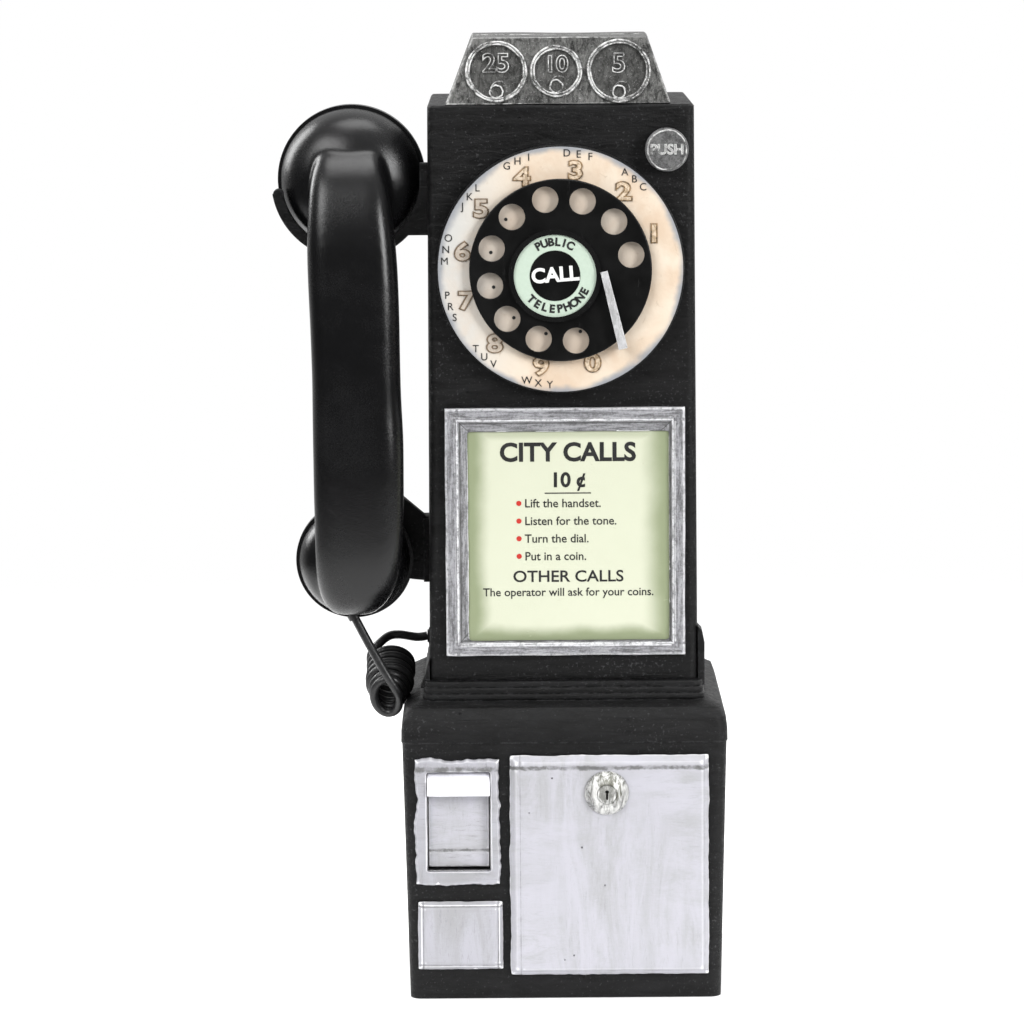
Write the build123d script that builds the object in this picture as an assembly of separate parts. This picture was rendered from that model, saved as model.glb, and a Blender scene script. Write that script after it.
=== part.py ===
from build123d import *
import math
import os

# A three-slot rotary payphone. Millimetres, +Z up, +X to the right of a person facing it, and -Y
# towards that person. The origin is the centre of the base's underside.

# ---------------------------------------------------------------- driving dimensions
BACK_Y = 61.0  # plane of the back, which can hang on a wall
CASTING = 2.6  # wall of both housings
SHEET = 1.2  # wall of chutes, cups and boxes
GAP = 0.4  # air between pieces that move past each other

# lower housing
LOWER_FRONT = -61.0
LOWER_FOOT_HALF = 67.7
LOWER_EDGE_HALF = 70.3
LOWER_EDGE_Z = 113.0
LOWER_CORNER = 5.0
COLLAR_Z = 130.0
COLLAR_HALF = 60.4
COLLAR_FRONT = -51.0
SHOULDER_TOP_HALF = 62.5
BEAD_HEIGHT = 2.7
BEADS = 3
BASE_THICK = 3.0

# upper housing
UPPER_FRONT = -47.0
UPPER_Z = COLLAR_Z + BEADS * BEAD_HEIGHT
UPPER_FOOT_HALF = 58.2
UPPER_TOP_HALF = 57.0
UPPER_TOP_Z = 387.0
UPPER_CORNER = 3.5

# coin head
HEAD_FOOT = (-49.7, 47.7, -46.6, 30.0)  # x low, x high, y front, y back
HEAD_TOP = (-38.2, 38.0, -40.5, 19.5)
HEAD_TOP_Z = 416.0
SLOT_Y = -9.0  # plane in which the coins fall
# each coin: x of its slot, x of its ring, coin diameter, coin thickness, ring radius
COINS = (
    (-22.6, -27.4, 24.3, 1.8, 13.0),
    (1.4, -1.8, 17.9, 1.4, 10.9),
    (24.0, 25.0, 21.2, 2.0, 13.4),
)
RING_Z = 401.2
CHUTE_TOP_Z = 408.0
CHUTE_FOOT_Z = 262.0
THROAT_Z = 138.0

# dial
DIAL_X, DIAL_Z = -0.5, 317.2
MOUNT_R = 53.2
MOUNT_FRONT = -53.6
CUP_R = 36.0
CUP_BACK = -20.0
PLATE_R = 52.4
PLATE_THICK = 1.0
WHEEL_R = 39.0
WHEEL_BACK = -56.4
WHEEL_THICK = 1.8
CARD_R = 17.6
CARD_THICK = 0.8
CARD_DX = -2.4  # the number card sits off the dial's centre
CARD_DZ = -2.2
RETAINER_R = 19.8
RETAINER_THICK = 1.6
STOP_FRONT = -62.3
STOP_THICK = 1.7
STOP_TOP = (18.4, -0.4)  # from the dial's centre
STOP_END = (26.5, -33.4)
STOP_HALF_TOP = 1.55
STOP_HALF_END = 1.95
STOP_POST_R = 1.4
HOLE_R = 5.6
HOLE_CIRCLE_R = 30.8
HOLE_FIRST_DEG = 12.0
HOLE_STEP_DEG = 30.0
SHAFT_R = 3.0
GEAR_MODULE = 0.8
GEAR_TEETH = 45
PINION_TEETH = 15
GOVERNOR_DEG = 135.0  # direction from the dial shaft to the governor
GEAR_Y = (-41.0, -38.5)

# instruction card
FRAME = (-51.0, 53.0, 149.0, 257.5)  # x low, x high, z low, z high
FRAME_OPENING = (-40.5, 45.5, 156.0, 246.5)
FRAME_PROUD = 3.6

# push button
BUTTON_X, BUTTON_Z = 45.1, 367.9
BUTTON_R = 9.25
BUTTON_STEM_R = 4.5

# handset
EAR_X, EAR_Z, EAR_R = -90.3, 354.6, 31.9
MOUTH_X, MOUTH_Z, MOUTH_R = -91.0, 188.0, 25.6

# hook
HOOK_Y = (-37.5, -31.5)
FORK_IN_R = 29.7
FORK_OUT_R = 34.1
PIVOT_X, PIVOT_Z = -47.0, 344.0
PIN_R = 2.0

# coin return
RETURN_FRAME = (-64.5, -28.5, 51.3, 106.0)
RETURN_OPENING = (-59.7, -32.3, 57.0, 100.6)
FLAP_PIVOT_Y, FLAP_PIVOT_Z = -58.9, 92.6
ACCESS = (-64.0, -27.2, 13.3, 43.4)

# vault
DOOR = (-23.7, 62.0, 11.0, 107.5)
VAULT_OPENING = (-18.0, 56.0, 17.0, 101.0)
LOCK_X, LOCK_Z = 18.1, 91.6
COIN_BOX = (-15.0, 53.0, -53.6, 30.0, 17.8, 84.0)

# wall mounting
WALL_BOLT_R = 3.25
WALL_BOLT_X = 40.0
WALL_BOLT_Z = (65.0, 315.0)
CABLE_R = 9.5
CABLE_Z = 200.0

# cord
CORD_R = 1.9
COIL_R = 9.5
COIL_NEAR = (-78.8, -34.0, 129.6)
COIL_FAR = (-76.2, -5.0, 139.5)
CORD_EXIT = (-90.7, -33.2, 163.4)
CORD_JOIN = (-72.2, -36.0, 132.4)
CORD_LEAD = [(-59.8, -5.5, 150.8), (-64.8, -5.5, 150.8), (-70.2, -6.2, 150.0), (-76.0, -8.0, 147.8)]
CORD_HOLE_R = 3.0


# ---------------------------------------------------------------- shapes used everywhere
def block(x0, x1, y0, y1, z0, z1):
    return Pos((x0 + x1) / 2, (y0 + y1) / 2, (z0 + z1) / 2) * Box(x1 - x0, y1 - y0, z1 - z0)


def rod_x(radius, y, z, x0, x1):
    return Pos((x0 + x1) / 2, y, z) * Rot(0, 90, 0) * Cylinder(radius, x1 - x0)


def rod_y(radius, x, z, y0, y1):
    return Pos(x, (y0 + y1) / 2, z) * Rot(90, 0, 0) * Cylinder(radius, y1 - y0)


def rod_z(radius, x, y, z0, z1):
    return Pos(x, y, (z0 + z1) / 2) * Cylinder(radius, z1 - z0)


def ring_y(outer, inner, x, z, y0, y1):
    return rod_y(outer, x, z, y0, y1) - rod_y(inner, x, z, y0 - 1, y1 + 1)


def slab(points, y0, y1):
    """A plate whose outline is given in X and Z."""
    outline = Polyline(*[(x, y0, z) for x, z in points], close=True)
    return extrude(make_face(outline), amount=y1 - y0, dir=(0, 1, 0))


def frustum(low, high, y_low, y_high):
    """A block between two rectangles (x low, x high, z low, z high) in planes across Y."""
    faces = []
    for (x0, x1, z0, z1), y in ((low, y_low), (high, y_high)):
        corners = [(x0, y, z0), (x1, y, z0), (x1, y, z1), (x0, y, z1)]
        faces.append(make_face(Polyline(*corners, close=True)))
    return loft(faces, ruled=True)


def turned(profile, x, z):
    """A solid turned about an axis along Y through (x, z), from a closed line of (radius, y)."""
    face = make_face(profile)
    return Pos(x, 0, z) * revolve(face, Axis.Y)


def box_tube(x0, x1, y0, y1, z0, z1, wall):
    return block(x0, x1, y0, y1, z0, z1) - block(
        x0 + wall, x1 - wall, y0 + wall, y1 - wall, z0 - 1, z1 + 1
    )


def plan(half, front, z, corner):
    """The outline of a housing at one height: a rounded rectangle from its front to the back plane."""
    depth = BACK_Y - front
    return Pos(0, front + depth / 2, z) * RectangleRounded(2 * half, depth, corner)


def largest(shape):
    return shape.solids().sort_by(SortBy.VOLUME)[-1]


def grown(rect, by):
    x0, x1, z0, z1 = rect
    return (x0 - by, x1 + by, z0 - by, z1 + by)


def polar(radius, degrees):
    angle = math.radians(degrees)
    return radius * math.cos(angle), radius * math.sin(angle)


# ---------------------------------------------------------------- housings
def upper_half(z):
    share = (z - UPPER_Z) / (UPPER_TOP_Z - UPPER_Z)
    return UPPER_FOOT_HALF + share * (UPPER_TOP_HALF - UPPER_FOOT_HALF)


def lower_half(z):
    return LOWER_FOOT_HALF + z / LOWER_EDGE_Z * (LOWER_EDGE_HALF - LOWER_FOOT_HALF)


def upper_solid():
    foot = plan(UPPER_FOOT_HALF, UPPER_FRONT, UPPER_Z, UPPER_CORNER)
    top = plan(UPPER_TOP_HALF, UPPER_FRONT, UPPER_TOP_Z, UPPER_CORNER)
    solid = loft([foot, top])
    return chamfer(solid.faces().sort_by(Axis.Z)[-1].edges(), 0.8)


SCREW_X_UPPER, SCREW_X_LOWER, SCREW_Y = 49.0, 59.0, 46.0
SCREW_R = 2.0
LUG = 4.5  # half the side of a screw lug
SCREWS = [
    (side * x, z)
    for x, heights in ((SCREW_X_UPPER, (150.0, 372.0)), (SCREW_X_LOWER, (14.0, 100.0)))
    for z in heights
    for side in (-1, 1)
]


def lug(x, z, half):
    """A screw lug on the inside of a side wall."""
    reach = half - 0.5
    side = 1 if x > 0 else -1
    low, high = sorted((x - side * LUG, side * reach))
    return block(low, high, SCREW_Y, BACK_Y - 3.0, z - LUG, z + LUG) - rod_y(
        SCREW_R, x, z, SCREW_Y - 1, BACK_Y
    )


def upper_housing():
    inside_foot = plan(UPPER_FOOT_HALF - CASTING, UPPER_FRONT + CASTING, UPPER_Z - 1, 1.5)
    inside_top = plan(UPPER_TOP_HALF - CASTING, UPPER_FRONT + CASTING, UPPER_TOP_Z - CASTING, 1.5)
    inside = loft([inside_foot, inside_top])
    inner_half = UPPER_TOP_HALF - CASTING
    mouth = block(-inner_half, inner_half, 50, BACK_Y + 1, UPPER_Z - 1, UPPER_TOP_Z - CASTING)
    shell = upper_solid() - inside - mouth
    shell -= rod_y(CUP_R + 0.3, DIAL_X, DIAL_Z, UPPER_FRONT - 1, UPPER_FRONT + 4)
    shell -= rod_y(BUTTON_STEM_R + 0.3, BUTTON_X, BUTTON_Z, UPPER_FRONT - 1, UPPER_FRONT + 4)
    shell -= block(-36.8, 36.8, SLOT_Y - 3.2, SLOT_Y + 3.2, 380, 390)
    shell -= block(-62, -50, HOOK_Y[0] - 0.8, HOOK_Y[1] + 0.8, 326, 369)
    shell -= rod_x(CORD_HOLE_R, CORD_LEAD[0][1], CORD_LEAD[0][2], -62, -50)
    for x, z in SCREWS:
        if z > UPPER_Z:
            shell += lug(x, z, upper_half(z) - CASTING + 1)
    return shell


def bead(index):
    z = COLLAR_Z + index * BEAD_HEIGHT
    half = COLLAR_HALF + 0.9 - 0.5 * index
    front = COLLAR_FRONT - 0.9 + 0.5 * index
    layer = extrude(plan(half, front, z, UPPER_CORNER + 1), amount=BEAD_HEIGHT)
    return fillet(layer.edges().filter_by(GeomType.LINE).filter_by(Plane.XY), 0.9)


SHOULDER_SHARES = (0.0, 0.3, 0.6, 0.85, 1.0)


def shoulder_z(share):
    return LOWER_EDGE_Z + share * (COLLAR_Z - LOWER_EDGE_Z)


def shoulder_half(share):
    """Half width of the shoulder, whose sides stay steep and turn in near the top."""
    return SHOULDER_TOP_HALF + (LOWER_EDGE_HALF + 0.4 - SHOULDER_TOP_HALF) * (1 - share**3) ** (1 / 3)


def shoulder_sections(inset):
    """The convex shoulder between the lower housing's edge and the collar, as outlines."""
    sections = []
    for share in SHOULDER_SHARES:
        front = COLLAR_FRONT + (LOWER_FRONT - 0.4 - COLLAR_FRONT) * math.sqrt(1 - share**2)
        outline = plan(shoulder_half(share) - inset, front + inset, shoulder_z(share), LOWER_CORNER)
        sections.append(outline)
    return sections


def back_outline(margin):
    """The opening in the back of both housings, smaller all round by a margin."""
    inset = CASTING + margin
    side = [(LOWER_FOOT_HALF - inset, 0.0)]
    side += [(shoulder_half(share) - inset, shoulder_z(share)) for share in SHOULDER_SHARES[:-1]]
    side += [(UPPER_TOP_HALF - inset, COLLAR_Z - 1.0), (UPPER_TOP_HALF - inset, UPPER_TOP_Z - inset)]
    return side + [(-x, z) for x, z in reversed(side)]


def corner_gussets():
    """The low webs that join the collar to the upper housing's two front corners."""
    right = [(58.3, 134.0), (61.2, 135.5), (61.2, 154.0), (60.2, 159.0), (58.3, 161.0)]
    left = [(-58.3, 134.0), (-62.3, 134.8), (-60.2, 140.0), (-58.3, 147.5)]
    return slab(right, UPPER_FRONT + 1, UPPER_FRONT + 12) + slab(left, UPPER_FRONT + 1, UPPER_FRONT + 10)


def lower_solid():
    foot = plan(LOWER_FOOT_HALF, LOWER_FRONT, 0, LOWER_CORNER)
    edge = plan(LOWER_EDGE_HALF, LOWER_FRONT, LOWER_EDGE_Z, LOWER_CORNER)
    return loft([foot, edge])


def lower_housing():
    shell = lower_solid() + loft(shoulder_sections(0), ruled=True)
    for index in range(BEADS):
        shell += bead(index)
    cavity_foot = plan(LOWER_FOOT_HALF - CASTING, LOWER_FRONT + CASTING, -1, 3)
    cavity_edge = plan(LOWER_EDGE_HALF - CASTING, LOWER_FRONT + CASTING, LOWER_EDGE_Z, 3)
    shell -= loft([cavity_foot, cavity_edge])
    shell -= loft(shoulder_sections(CASTING), ruled=True)
    shell += corner_gussets()
    throat_half = UPPER_TOP_HALF - CASTING
    shell -= block(-throat_half, throat_half, UPPER_FRONT + CASTING, BACK_Y + 1, 129, 140)
    shell -= slab(back_outline(0.0), 50, BACK_Y + 1)
    foot_half = LOWER_FOOT_HALF - CASTING
    shell -= block(-foot_half, foot_half, 50, BACK_Y + 1, -1, 1)
    x0, x1, z0, z1 = VAULT_OPENING
    shell -= block(x0, x1, LOWER_FRONT - 1, LOWER_FRONT + 4, z0, z1)
    shell -= block(-61, -31, LOWER_FRONT - 1, LOWER_FRONT + 4, 55.5, 96)
    for x, z in SCREWS:
        if z < UPPER_Z:
            shell += lug(x, z, lower_half(z) - CASTING + 1)
    return shell


def base_plate():
    half = LOWER_FOOT_HALF - CASTING - 0.2
    front, back = LOWER_FRONT + CASTING + 0.2, BACK_Y - 3.4
    outline = Pos(0, (front + back) / 2, 0) * RectangleRounded(2 * half, back - front, 2.8)
    return extrude(outline, amount=BASE_THICK)


def back_plate():
    plate = slab(back_outline(0.3), BACK_Y - 3, BACK_Y)
    for x in (-WALL_BOLT_X, WALL_BOLT_X):
        for z in WALL_BOLT_Z:
            plate -= rod_y(WALL_BOLT_R, x, z, BACK_Y - 4, BACK_Y + 1)
    plate -= rod_y(CABLE_R, 0, CABLE_Z, BACK_Y - 4, BACK_Y + 1)
    for x, z in SCREWS:
        plate -= rod_y(SCREW_R, x, z, BACK_Y - 4, BACK_Y + 1)
        plate -= rod_y(3.9, x, z, BACK_Y - 2, BACK_Y + 1)
    return plate


def back_screws():
    screws = []
    for x, z in SCREWS:
        screw = rod_y(SCREW_R, x, z, SCREW_Y + 1, BACK_Y - 1.9)
        head = rod_y(3.7, x, z, BACK_Y - 2, BACK_Y - 0.1)
        slot = block(x - 4, x + 4, BACK_Y - 0.9, BACK_Y, z - 0.5, z + 0.5)
        screws.append(screw + head - slot)
    return Compound(children=screws)


def access_plate():
    plate = frustum(ACCESS, grown(ACCESS, -1.6), LOWER_FRONT - 1.4, LOWER_FRONT - 3.0)
    x0, x1, z0, z1 = ACCESS
    return plate + block(x0, x1, LOWER_FRONT - 1.4, LOWER_FRONT, z0, z1)


# ---------------------------------------------------------------- coin path
def coin_head():
    def rectangle(x0, x1, y0, y1, z):
        corners = [(x0, y0, z), (x1, y0, z), (x1, y1, z), (x0, y1, z)]
        return make_face(Polyline(*corners, close=True))

    head = loft([rectangle(*HEAD_FOOT, UPPER_TOP_Z), rectangle(*HEAD_TOP, HEAD_TOP_Z)], ruled=True)
    head = fillet(head.edges().filter_by(lambda e: abs(e.center().Z - 400) < 12), 1.6)
    inner_foot = [HEAD_FOOT[0] + 3, HEAD_FOOT[1] - 3, HEAD_FOOT[2] + 3, HEAD_FOOT[3] - 3]
    inner_top = [HEAD_TOP[0] + 3, HEAD_TOP[1] - 3, HEAD_TOP[2] + 3, HEAD_TOP[3] - 3]
    hollow = [rectangle(*inner_foot, UPPER_TOP_Z - 0.1), rectangle(*inner_top, HEAD_TOP_Z - 3)]
    head -= loft(hollow, ruled=True)
    for x, _, coin, thick, _ in COINS:
        half_x, half_y = coin / 2 + 0.5, thick / 2 + 0.5
        head -= block(x - half_x, x + half_x, SLOT_Y - half_y, SLOT_Y + half_y, 400, 420)
    lean = math.degrees(math.atan2(HEAD_TOP[2] - HEAD_FOOT[2], HEAD_TOP_Z - UPPER_TOP_Z))
    face_y = HEAD_FOOT[2] + (RING_Z - UPPER_TOP_Z) * math.tan(math.radians(lean))
    for _, x, _, _, radius in COINS:
        head += Pos(x, face_y, RING_Z) * Rot(90 - lean, 0, 0) * Torus(radius - 0.9, 0.9)
        low = RING_Z - radius + 5.6
        low_y = HEAD_FOOT[2] + (low - UPPER_TOP_Z) * math.tan(math.radians(lean))
        head += Pos(x + 1.2, low_y, low) * Rot(90 - lean, 0, 0) * Torus(3.3, 0.45)
    return head


def coin_chutes():
    chutes = []
    for x, _, coin, thick, _ in COINS:
        half_x, half_y = coin / 2 + 1.2, thick / 2 + 1.2
        y0, y1 = SLOT_Y - half_y, SLOT_Y + half_y
        chutes.append(box_tube(x - half_x, x + half_x, y0, y1, CHUTE_FOOT_Z, CHUTE_TOP_Z, 0.8))
    return Compound(children=chutes)


def coin_hopper():
    def mouth(half_x, half_y, x, z):
        return Pos(x, SLOT_Y, z) * Rectangle(2 * half_x, 2 * half_y)

    top_z, neck_z = CHUTE_FOOT_Z - 0.2, 222.0
    outer = loft([mouth(41.0, 6.0, -1.5, top_z), mouth(14.0, 6.0, 0, neck_z)], ruled=True)
    inner = loft([mouth(39.8, 4.8, -1.5, top_z + 0.1), mouth(12.8, 4.8, 0, neck_z - 0.1)], ruled=True)
    neck = box_tube(-14.0, 14.0, SLOT_Y - 6.0, SLOT_Y + 6.0, THROAT_Z, neck_z, SHEET)
    return outer - inner + neck


VANE_Z = 118.0


def relay_frame():
    floor = block(-12, 20, SLOT_Y - 9, SLOT_Y + 9, 130.4, 132)
    floor -= block(-13, 12, SLOT_Y - 6, SLOT_Y + 6, 129, 133)
    frame = floor
    for y in (SLOT_Y - 9, SLOT_Y + 7.6):
        cheek = block(-12, 20, y, y + 1.4, 100, 130.4)
        cheek -= rod_y(1.25, 0, VANE_Z, y - 1, y + 3)
        frame += cheek
    frame += block(20, 21.4, SLOT_Y - 9, SLOT_Y + 9, 100, 132)
    return frame


def relay_coil():
    core = rod_x(2.5, SLOT_Y, 118, 21.4, 47)
    winding = rod_x(7.5, SLOT_Y, 118, 24, 44)
    ends = rod_x(9, SLOT_Y, 118, 22.6, 24) + rod_x(9, SLOT_Y, 118, 44, 45.4)
    return core + winding + ends


def relay_vane():
    blade = block(-0.7, 0.7, SLOT_Y - 6.6, SLOT_Y + 6.6, VANE_Z, VANE_Z + 11)
    hub = rod_y(2.2, 0, VANE_Z, SLOT_Y - 6.6, SLOT_Y + 6.6)
    pin = rod_y(1.2, 0, VANE_Z, SLOT_Y - 10, SLOT_Y + 10)
    return blade + hub + pin


def refund_chute():
    tray = slab([(-38, 96.4), (-4, 105), (-4, 106.4), (-38, 97.8)], SLOT_Y - 6.6, SLOT_Y + 6.6)
    rails = slab([(-38, 96.4), (-13, 102.7), (-13, 108), (-38, 101.8)], SLOT_Y - 7.8, SLOT_Y - 6.6)
    rails += slab([(-38, 96.4), (-13, 102.7), (-13, 108), (-38, 101.8)], SLOT_Y + 6.6, SLOT_Y + 7.8)
    return tray + rails


def return_frame():
    y_face = LOWER_FRONT - 3.2
    frame = frustum(RETURN_FRAME, grown(RETURN_FRAME, -0.8), LOWER_FRONT - 2.2, y_face)
    x0, x1, z0, z1 = RETURN_FRAME
    frame += block(x0, x1, LOWER_FRONT - 2.2, LOWER_FRONT, z0, z1)
    x0, x1, z0, z1 = RETURN_OPENING
    return frame - block(x0, x1, y_face - 1, LOWER_FRONT + 1, z0, z1)


def return_hood():
    x0, x1, _, z1 = RETURN_OPENING
    z0 = 90.4
    profile = Polyline((x0, LOWER_FRONT, z1), (x0, LOWER_FRONT, z0), (x0, LOWER_FRONT - 4.6, z0))
    arc = ThreePointArc(
        (x0, LOWER_FRONT - 4.6, z0), (x0, LOWER_FRONT - 3.4, z1 - 3.6), (x0, LOWER_FRONT, z1)
    )
    return extrude(make_face([*profile.edges(), arc]), amount=x1 - x0, dir=(1, 0, 0))


def return_flap():
    x0, x1 = -59.1, -32.9
    y_face, y_back = -60.4, -59.2
    z_bottom, z_groove = 58.4, 65.3
    groove_wide, groove_deep = 0.9, 0.4
    flap = block(x0, x1, y_face, y_back, z_bottom, FLAP_PIVOT_Z)
    flap -= block(x0 - 1, x1 + 1, y_face - 1, y_face + groove_deep, z_groove, z_groove + groove_wide)
    flap += rod_x(1.8, FLAP_PIVOT_Y, FLAP_PIVOT_Z, x0, x1)
    return flap - rod_x(1.1, FLAP_PIVOT_Y, FLAP_PIVOT_Z, x0 - 1, x1 + 1)


def flap_pin():
    return rod_x(1.1, FLAP_PIVOT_Y, FLAP_PIVOT_Z, -60.6, -31.4)


def return_cup():
    x0, x1, y0, y1, z0, z1 = -60.7, -31.3, -60.8, -8.0, 55.8, 95.6
    cup = block(x0, x1, y0, y1, z0, z1)
    cup -= block(x0 + SHEET, x1 - SHEET, y0 - 1, y1 - SHEET, z0 + SHEET, z1 + 1)
    return cup - rod_x(1.15, FLAP_PIVOT_Y, FLAP_PIVOT_Z, x0 - 1, x1 + 1)


# ---------------------------------------------------------------- vault
def vault_door():
    y_back = LOWER_FRONT - GAP
    y_face = LOWER_FRONT - 4.2
    door = frustum(DOOR, grown(DOOR, -2.4), y_back - 1.6, y_face)
    x0, x1, z0, z1 = DOOR
    door += block(x0, x1, y_back - 1.6, y_back, z0, z1)
    x0, x1, z0, z1 = grown(VAULT_OPENING, -GAP)
    door += block(x0, x1, y_back, LOWER_FRONT + 2.4, z0, z1)
    return door - rod_y(4.1, LOCK_X, LOCK_Z, y_face - 1, LOWER_FRONT + 3)


def lock_boss():
    y_face = LOWER_FRONT - 4.2
    arc = ThreePointArc((9.9, y_face), (7.2, y_face - 3.0), (4.1, y_face - 4.2))
    rest = Polyline((4.1, y_face - 4.2), (4.1, y_face), (9.9, y_face))
    return turned([arc, *rest.edges()], LOCK_X, LOCK_Z)


def lock_plug():
    y_face = LOWER_FRONT - 8.4
    y_cam = LOWER_FRONT + 3.2
    plug = rod_y(4.05, LOCK_X, LOCK_Z, y_face, y_cam)
    slot_half, slot_low, eye_r, eye_rise, key_deep = 0.45, 2.2, 0.8, 1.2, 9
    plug -= block(
        LOCK_X - slot_half, LOCK_X + slot_half, y_face - 1, y_face + key_deep,
        LOCK_Z - slot_low, LOCK_Z + eye_rise,
    )
    plug -= rod_y(eye_r, LOCK_X, LOCK_Z + eye_rise, y_face - 1, y_face + key_deep)
    cam = block(LOCK_X - 13.5, LOCK_X, y_cam, y_cam + 2.2, LOCK_Z - 3.2, LOCK_Z + 3.2)
    cam += rod_y(4.05, LOCK_X, LOCK_Z, y_cam, y_cam + 2.2)
    return plug + cam


def vault_tray():
    x0, x1, y0, y1, z0, _ = COIN_BOX
    tray = block(x0 - 2, x1 + 2, y0, y1 + 4, z0 - 2.0, z0 - GAP)
    for x in (x0 - 2, x1 + 0.8):
        tray += block(x, x + 1.2, y0, y1 + 4, z0 - 2.0, z0 + 10)
    return tray


COIN_BOX_MOUTH = (4.0, 34.0, SLOT_Y - 11, SLOT_Y + 11)


def coin_box():
    x0, x1, y0, y1, z0, z1 = COIN_BOX
    box = block(x0, x1, y0, y1, z0, z1)
    box = fillet(box.edges().filter_by(Axis.Z), 2.5)
    box -= block(x0 + SHEET, x1 - SHEET, y0 + SHEET, y1 - SHEET, z0 + SHEET, z1 - SHEET)
    mx0, mx1, my0, my1 = COIN_BOX_MOUTH
    return box - block(mx0, mx1, my0, my1, z1 - 3, z1 + 1)


def coin_box_handle():
    y = COIN_BOX[2]
    handle = rod_x(1.2, y - 2.6, 50, 8, 30)
    for x in (8, 30):
        handle += rod_y(1.2, x, 50, y - 3.2, y)
    return handle


# ---------------------------------------------------------------- dial
def dial_mount():
    rim = rod_y(MOUNT_R, DIAL_X, DIAL_Z, MOUNT_FRONT, UPPER_FRONT)
    rim = chamfer(rim.faces().sort_by(Axis.Y)[0].edges(), 0.5)
    cup = rod_y(CUP_R, DIAL_X, DIAL_Z, UPPER_FRONT, CUP_BACK)
    hollow = rod_y(CUP_R - 1.5, DIAL_X, DIAL_Z, -44.0, CUP_BACK - 2.0)
    mount = rim + cup - hollow
    mount -= rod_y(SHAFT_R + 0.05, DIAL_X, DIAL_Z, MOUNT_FRONT - 1, CUP_BACK - 1.0)
    x, z = governor_centre()
    mount += ring_y(8.6, 7.2, x, z, -34.6, CUP_BACK - 2.0)
    return mount - rod_y(1.05, x, z, -46, CUP_BACK - 1.0)


def number_plate():
    y0 = MOUNT_FRONT - PLATE_THICK
    return ring_y(PLATE_R, SHAFT_R + 1.5, DIAL_X, DIAL_Z, y0, MOUNT_FRONT)


def finger_wheel():
    wheel = ring_y(WHEEL_R, SHAFT_R, DIAL_X, DIAL_Z, WHEEL_BACK - WHEEL_THICK, WHEEL_BACK)
    rim = wheel.edges().filter_by(GeomType.CIRCLE).filter_by(lambda edge: edge.radius > 20)
    wheel = fillet(rim, 0.5)
    for index in range(10):
        dx, dz = polar(HOLE_CIRCLE_R, HOLE_FIRST_DEG + index * HOLE_STEP_DEG)
        wheel -= rod_y(HOLE_R, DIAL_X + dx, DIAL_Z + dz, WHEEL_BACK - 5, WHEEL_BACK + 5)
    return wheel


def number_card():
    front = WHEEL_BACK - WHEEL_THICK
    return rod_y(CARD_R, DIAL_X + CARD_DX, DIAL_Z + CARD_DZ, front - CARD_THICK, front)


def card_retainer():
    front = WHEEL_BACK - WHEEL_THICK
    x, z = DIAL_X + CARD_DX, DIAL_Z + CARD_DZ
    return ring_y(RETAINER_R, CARD_R, x, z, front - RETAINER_THICK, front)


def dial_shaft():
    shaft = rod_y(SHAFT_R, DIAL_X, DIAL_Z, WHEEL_BACK - WHEEL_THICK, CUP_BACK - 1.2)
    return shaft + ring_y(5.5, SHAFT_R, DIAL_X, DIAL_Z, WHEEL_BACK, WHEEL_BACK + 1.2)


def involute(value):
    return math.tan(value) - value


def gear(teeth, x, z, y0, y1, first_tooth_deg, backlash):
    """A spur gear with involute teeth of 20 degrees; its first tooth points at the given angle."""
    pitch_r = GEAR_MODULE * teeth / 2
    base_r = pitch_r * math.cos(math.radians(20))
    root_r, tip_r = pitch_r - 1.25 * GEAR_MODULE, pitch_r + 0.9 * GEAR_MODULE
    radii = [max(root_r, base_r) + (tip_r - max(root_r, base_r)) * k / 4 for k in range(5)]
    half_at_pitch = math.pi / (2 * teeth) - backlash / (2 * pitch_r)

    def half_angle(radius):
        return half_at_pitch + involute(math.radians(20)) - involute(math.acos(base_r / radius))

    flank = [(radius, half_angle(radius)) for radius in radii]
    if root_r < base_r:
        flank.insert(0, (root_r, flank[0][1]))
    points = []
    for index in range(teeth):
        middle = math.radians(first_tooth_deg) + index * 2 * math.pi / teeth
        for radius, half in flank:
            points.append((x + radius * math.cos(middle - half), z + radius * math.sin(middle - half)))
        for radius, half in reversed(flank):
            points.append((x + radius * math.cos(middle + half), z + radius * math.sin(middle + half)))
    return slab(points, y0, y1)


def dial_gear():
    wheel = gear(GEAR_TEETH, DIAL_X, DIAL_Z, *GEAR_Y, GOVERNOR_DEG, 0.12)
    return wheel - rod_y(SHAFT_R, DIAL_X, DIAL_Z, GEAR_Y[0] - 1, GEAR_Y[1] + 1)


def governor_centre():
    dx, dz = polar(GEAR_MODULE * (GEAR_TEETH + PINION_TEETH) / 2, GOVERNOR_DEG)
    return DIAL_X + dx, DIAL_Z + dz


def governor():
    x, z = governor_centre()
    pinion = gear(PINION_TEETH, x, z, *GEAR_Y, GOVERNOR_DEG + 180 + 180 / PINION_TEETH, 0.12)
    axle = rod_y(1.0, x, z, -45.8, CUP_BACK - 1.2)
    arm = block(x - 5, x + 5, -32.6, -31.4, z - 1, z + 1)
    weights = rod_y(1.6, x - 5, z, -34, -30) + rod_y(1.6, x + 5, z, -34, -30)
    return pinion + axle + arm + weights


def dial_spring():
    return ring_y(12.0, 5.5, DIAL_X, DIAL_Z, -36.5, -30.0)


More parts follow.
